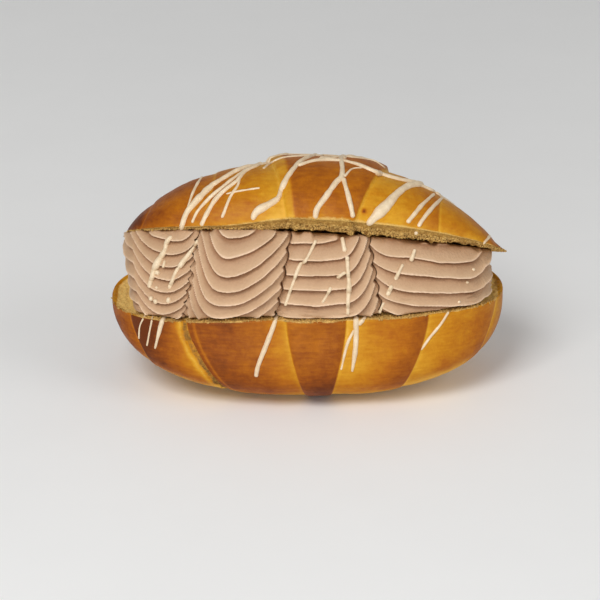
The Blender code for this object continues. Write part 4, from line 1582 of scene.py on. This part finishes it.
# %% The geometry tree that draws a strand
def strand_tree():
    sizes = {
        "Sides": 12,
        "Unevenness": 0.35 * MM,
        "Lump Scale": 420.0,
        "Seed": 3.0,
    }
    tree, source, target = new_geometry_tree("icing_strands", sizes)
    line = node(tree, "GeometryNodeMeshToCurve", {0: source["Geometry"]})
    radius = times(tree, named(tree, "width"), 0.5)
    thick = node(tree, "GeometryNodeSetCurveRadius", {"Curve": line.outputs[0], "Radius": radius})
    circle = {"Resolution": source["Sides"], "Radius": 1.0}
    ring = node(tree, "GeometryNodeCurvePrimitiveCircle", circle)
    tube = node(
        tree,
        "GeometryNodeCurveToMesh",
        {"Curve": thick.outputs[0], "Profile Curve": ring.outputs[0], "Fill Caps": True},
    )
    # Some versions of the node need the curve's radius to be passed on as its scale
    if "Scale" in tube.inputs:
        give(tree, tube.inputs["Scale"], node(tree, "GeometryNodeInputRadius").outputs[0])
    position = node(tree, "GeometryNodeInputPosition").outputs[0]
    lumps = noise_at(tree, position, source["Lump Scale"], source["Seed"], 2.0)
    push = times(tree, lumps, source["Unevenness"])
    normal = node(tree, "GeometryNodeInputNormal").outputs[0]
    moved = node(
        tree,
        "GeometryNodeSetPosition",
        {"Geometry": tube.outputs[0], "Offset": scaled(tree, normal, push)},
    )
    smooth = node(tree, "GeometryNodeSetShadeSmooth", {"Geometry": moved.outputs[0]})
    end_tree(tree, smooth.outputs[0], source, target)
    return tree


STRANDS = strand_tree()
# How much a strand's width varies as the icing drew together into beads
BEADS = 0.2
BEAD_SPACING = 3.2 * MM


def icing_piece(name, strands, material):
    """Joins strands, each (points, widths), into one piece."""
    points, edges, widths = [], [], []
    for line, width in strands:
        width = width * (1 + BEADS * soft_noise(line, BEAD_SPACING, 71))
        length = np.append(0, np.cumsum(np.linalg.norm(np.diff(line, axis=0), axis=1)))
        from_end = np.minimum(length, length[-1] - length)
        rounded = np.sqrt(np.clip(1 - (1 - np.clip(from_end / (width / 2), 0, 1)) ** 2, 0.02, 1))
        start = len(points)
        points += line.tolist()
        edges += [(start + i, start + i + 1) for i in range(len(line) - 1)]
        widths += (width * rounded).tolist()
    mesh = bpy.data.meshes.new(name)
    mesh.from_pydata(points, edges, [])
    mesh.attributes.new("width", "FLOAT", "POINT").data.foreach_set("value", widths)
    piece = linked(name, mesh)
    run_tree(piece, STRANDS, {"Material": material})
    return piece


# %% Icing material
ICING_COLOURS = {0.0: colour(212, 184, 146), 0.6: colour(230, 208, 174), 1.0: colour(240, 221, 190)}
ICING_ROUGHNESS = (0.36, 0.52)


def icing_material():
    material, tree, shader = new_material("sugar_icing")
    tone = placed(tree, PATCHES, {"Scale": 260.0, "Fine Scale": 1300.0, "Fine Share": 0.3})
    give(tree, shader.inputs["Base Color"], ramp(tree, tone, ICING_COLOURS))
    give(tree, shader.inputs["Roughness"], spread(tree, tone, *ICING_ROUGHNESS))
    grain = placed(tree, GRAIN, {"Scale": 1100.0, "Height": 0.00012, "Pore Depth": 0.0})
    relief(tree, shader, grain)
    return material


ICING = icing_material()

# %% Routes of the strands
# Each place is across, down and the strand's width, in pixels of the picture
LID_ROUTES = {
    "left_thin": ((208, 171, 2), (200, 180, 3), (193, 193, 3), (188, 207, 2)),
    "left_thick": (
        (262, 164, 5), (258, 165, 5), (240, 170, 6), (225, 178, 6), (210, 188, 7), (195, 203, 7),
        (187, 213, 6), (182, 226, 5), (181, 232, 5),
    ),
    "left_second": ((248, 168, 3), (228, 183, 4), (210, 198, 4), (198, 211, 3), (192, 223, 3)),
    "left_third": (
        (260, 165, 4), (245, 172, 5), (237, 181, 5), (222, 193, 5), (212, 205, 5), (201, 226, 5),
    ),
    "left_fourth": ((240, 175, 3), (238, 185, 3), (230, 198, 3), (222, 218, 3)),
    "left_tick": ((226, 194, 2), (240, 191, 2), (260, 188, 2)),
    "middle_left": (
        (318, 155, 4), (310, 157, 5), (300, 162, 5), (292, 171, 5), (285, 182, 6), (280, 195, 6),
        (275, 201, 7), (258, 211, 8), (252, 220, 5),
    ),
    "over_top": (
        (263, 169, 3), (275, 161, 3), (290, 157, 3), (330, 156, 3), (370, 160, 3), (385, 168, 2),
    ),
    "along_top": (
        (298, 166, 4), (315, 161, 5), (340, 161, 5), (355, 164, 5), (370, 170, 6), (385, 176, 6),
        (400, 180, 6), (418, 184, 6), (430, 187, 5),
    ),
    "fork_left": (
        (341, 155, 5), (342, 175, 5), (335, 184, 6), (325, 198, 6), (317, 209, 6), (315, 219, 5),
    ),
    "fork_right": ((343, 178, 5), (346, 188, 4), (350, 203, 5), (353, 218, 5)),
    "fork_twig": ((344, 177, 3), (352, 169, 2), (362, 168, 2)),
    "right_thick": (
        (432, 185, 6), (415, 185, 8), (405, 188, 8), (395, 196, 8), (388, 204, 11), (379, 213, 11),
        (371, 221, 8), (367, 225, 4),
    ),
    "right_long": (
        (418, 185, 5), (430, 190, 4), (440, 195, 3), (455, 204, 3), (470, 215, 3), (493, 233, 4),
    ),
    "right_tick": ((494, 230, 3), (489, 237, 3), (483, 244, 3)),
    "right_first": ((434, 194, 3), (422, 205, 4), (412, 217, 4), (407, 223, 5)),
    "right_second": ((442, 198, 3), (432, 208, 4), (423, 219, 4), (418, 227, 4)),
    "right_drop": ((416, 231, 4), (416, 235, 4)),
}
CREAM_ROUTES = {
    "first": ((172, 236, 4), (167, 242, 5), (165, 250, 5), (160, 259, 7), (155, 268, 7), (149, 288, 4)),
    "first_blob": ((154, 272, 5), (160, 273, 6)),
    "first_twig": ((165, 260, 3), (163, 268, 3)),
    "second": ((198, 240, 3), (190, 253, 4), (183, 262, 5), (176, 272, 4), (169, 289, 4)),
    "dot_left": ((151, 296, 4), (151, 301, 4)),
    "dot_middle": ((155, 299, 4), (156, 304, 4)),
    "dot_right": ((169, 297, 5), (168, 303, 5)),
    "dot_low": ((157, 286, 3), (156, 289, 3)),
    "third": ((316, 240, 3), (306, 260, 3), (300, 265, 4), (293, 283, 3), (285, 306, 3)),
    "fourth_top": ((342, 237, 4), (345, 252, 5)),
    "fourth": ((347, 256, 4), (348, 272, 4), (349, 285, 5), (348, 302, 4), (348, 315, 4)),
    "fourth_twig": ((337, 278, 4), (341, 275, 4), (346, 272, 4)),
    "fifth": ((331, 287, 4), (327, 295, 3), (322, 303, 3)),
    "sixth": ((415, 249, 3), (411, 261, 5)),
    "seventh": ((403, 264, 3), (399, 272, 3), (395, 280, 4)),
    "eighth": ((392, 285, 4), (387, 296, 4)),
    "ninth": ((384, 302, 3), (378, 316, 3)),
    "drop_1": ((474, 268, 4), (473, 271, 4)),
    "drop_2": ((467, 281, 4), (467, 284, 4)),
    "drop_3": ((458, 301, 4), (460, 303, 4)),
}
BASE_ROUTES = {
    "left_1": ((152, 307, 3), (145, 316, 2), (140, 326, 2), (139, 339, 2)),
    "left_2": ((156, 308, 2), (152, 320, 2), (147, 346, 2)),
    "left_3": ((171, 309, 4), (163, 320, 5), (159, 333, 4), (155, 349, 2)),
    "middle": ((278, 313, 4), (272, 330, 5), (265, 348, 5), (258, 366, 5), (256, 377, 4)),
    "fork": ((356, 317, 5), (356, 335, 5), (355, 352, 5), (352, 372, 2)),
    "fork_left": ((354, 330, 3), (347, 345, 3), (341, 370, 2)),
    "fork_right": ((367, 316, 4), (358, 325, 4)),
    "right": ((449, 311, 3), (440, 325, 3), (430, 337, 3), (421, 350, 2)),
}
# Each place is X, Y and the strand's width in mm, seen from above
BACK_ROUTES = {
    "from_left": ((-22, 2, 2.0), (-12, 12, 2.1), (-6, 22, 1.8), (-3, 31, 1.4)),
    "from_left_thin": ((-27, 3, 1.4), (-22, 14, 1.4), (-21, 24, 1.2)),
    "from_middle": ((4, 1, 1.8), (16, 9, 2.0), (25, 20, 2.2), (31, 30, 1.6)),
    "from_fork": ((14, 1, 2.0), (14, 12, 2.2), (11, 24, 2.0), (10, 33, 1.6)),
    "from_right": ((51, 0, 2.2), (58, 8, 2.0), (62, 17, 1.8)),
    "across_back": ((-44, 14, 1.2), (-30, 17, 1.5), (-10, 16, 1.6), (8, 18, 1.4), (20, 16, 1.2)),
}

# %% Lay and draw the strands
lid_surface = surface_tree([lid_crust_piece])
cream_surface = surface_tree(cream_pieces)
base_surface = surface_tree([base_crust_piece])
lid_lines = [lay_on(lid_surface, route, 0) for route in LID_ROUTES.values()]
lid_lines += [lay_from_above(lid_surface, route) for route in BACK_ROUTES.values()]
cream_lines = [lay_on(cream_surface, route, BRIDGE) for route in CREAM_ROUTES.values()]
base_lines = [lay_on(base_surface, route, 0) for route in BASE_ROUTES.values()]
icing_on_lid = icing_piece("icing_on_lid", lid_lines, ICING)
icing_on_cream = icing_piece("icing_on_cream", cream_lines, ICING)
icing_on_base = icing_piece("icing_on_base", base_lines, ICING)

# %% [markdown]
# Attach the pieces and hide the solids
# Every piece rides on the one body. The fine crusts, swirls and icing stand for the plain solids,
# which stay hidden.

# %% Hand the pieces to the frame
for piece, nodes, slot in (
    (base_crust_piece, ("bottom_half",), "crust"),
    (lid_crust_piece, ("top_half",), "crust"),
    (crumb_pieces[0], ("top_half",), "crust"),
    (crumb_pieces[1], ("bottom_half",), "crust"),
    (icing_on_lid, ("top_half",), "cream"),
    (icing_on_base, ("bottom_half",), "cream"),
    (icing_on_cream, ("cream_swirl_1", "cream_swirl_3"), "cream"),
    *((piece, (swirl.name,), "cream") for piece, swirl in zip(cream_pieces, SWIRLS)),
):
    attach(piece, "root")
    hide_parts(*nodes)

# %% [markdown]
# Floor and light
# The croissant stands on a plain pale floor that curves up behind it, in soft light from the front
# left and above, as from a large window, with a bright surround that fills the shadows.

# %% Floor
FLOOR_HALF_WIDTH = 3.0
FLOOR_FRONT = -3.0
FLOOR_BACK = 1.6
BACKDROP_RADIUS = 1.2
BACKDROP_HEIGHT = 2.4


def floor_profile():
    bend = [
        (FLOOR_BACK + BACKDROP_RADIUS * math.sin(a), BACKDROP_RADIUS * (1 - math.cos(a)))
        for a in np.linspace(0, math.pi / 2, 24)
    ]
    return [(FLOOR_FRONT, 0), *bend, (FLOOR_BACK + BACKDROP_RADIUS, BACKDROP_HEIGHT)]


def floor_piece():
    profile = floor_profile()
    points = [(side * FLOOR_HALF_WIDTH, y, z) for y, z in profile for side in (-1, 1)]
    faces = [(2 * i, 2 * i + 1, 2 * i + 3, 2 * i + 2) for i in range(len(profile) - 1)]
    mesh = bpy.data.meshes.new("floor")
    mesh.from_pydata(points, [], faces)
    mesh.shade_smooth()
    material, tree, shader = new_material("pale_floor")
    tone = placed(tree, PATCHES, {"Scale": 3.0, "Fine Scale": 30.0, "Fine Share": 0.2})
    shade = ramp(tree, tone, {0.0: colour(240, 240, 239), 1.0: colour(246, 246, 245)})
    give(tree, shader.inputs["Base Color"], shade)
    shader.inputs["Roughness"].default_value = 0.8
    mesh.materials.append(material)
    return new_piece("floor", mesh)


floor_piece()

# %% Lights
WORLD_STRENGTH = 0.3
KEY_PLACE = Vector((-0.55, -1.0, 1.35))
KEY_SIZE = 0.8
KEY_POWER = 16.4
FILL_PLACE = Vector((1.1, -0.6, 0.8))
FILL_SIZE = 0.8
FILL_POWER = 4
LOW_PLACE = Vector((-0.2, -1.3, 0.06))
LOW_SIZE = 0.6
LOW_POWER = 7
LIGHT_TARGET = Vector((0, 0, 0.045))


def area_light(name, place, size, power_in_watts):
    light = bpy.data.lights.new(name, "AREA")
    light.size = size
    light.energy = power_in_watts
    lamp = linked(name, light)
    aim = (LIGHT_TARGET - place).to_track_quat("-Z", "Y")
    lamp.matrix_world = Matrix.Translation(place) @ aim.to_matrix().to_4x4()


area_light("key", KEY_PLACE, KEY_SIZE, KEY_POWER)
area_light("fill", FILL_PLACE, FILL_SIZE, FILL_POWER)
area_light("low", LOW_PLACE, LOW_SIZE, LOW_POWER)
world = bpy.data.worlds.new("studio")
world.use_nodes = True
world.node_tree.nodes["Background"].inputs["Color"].default_value = (1, 1, 1, 1)
world.node_tree.nodes["Background"].inputs["Strength"].default_value = WORLD_STRENGTH
bpy.context.scene.world = world
bpy.context.scene.view_settings.view_transform = "Standard"
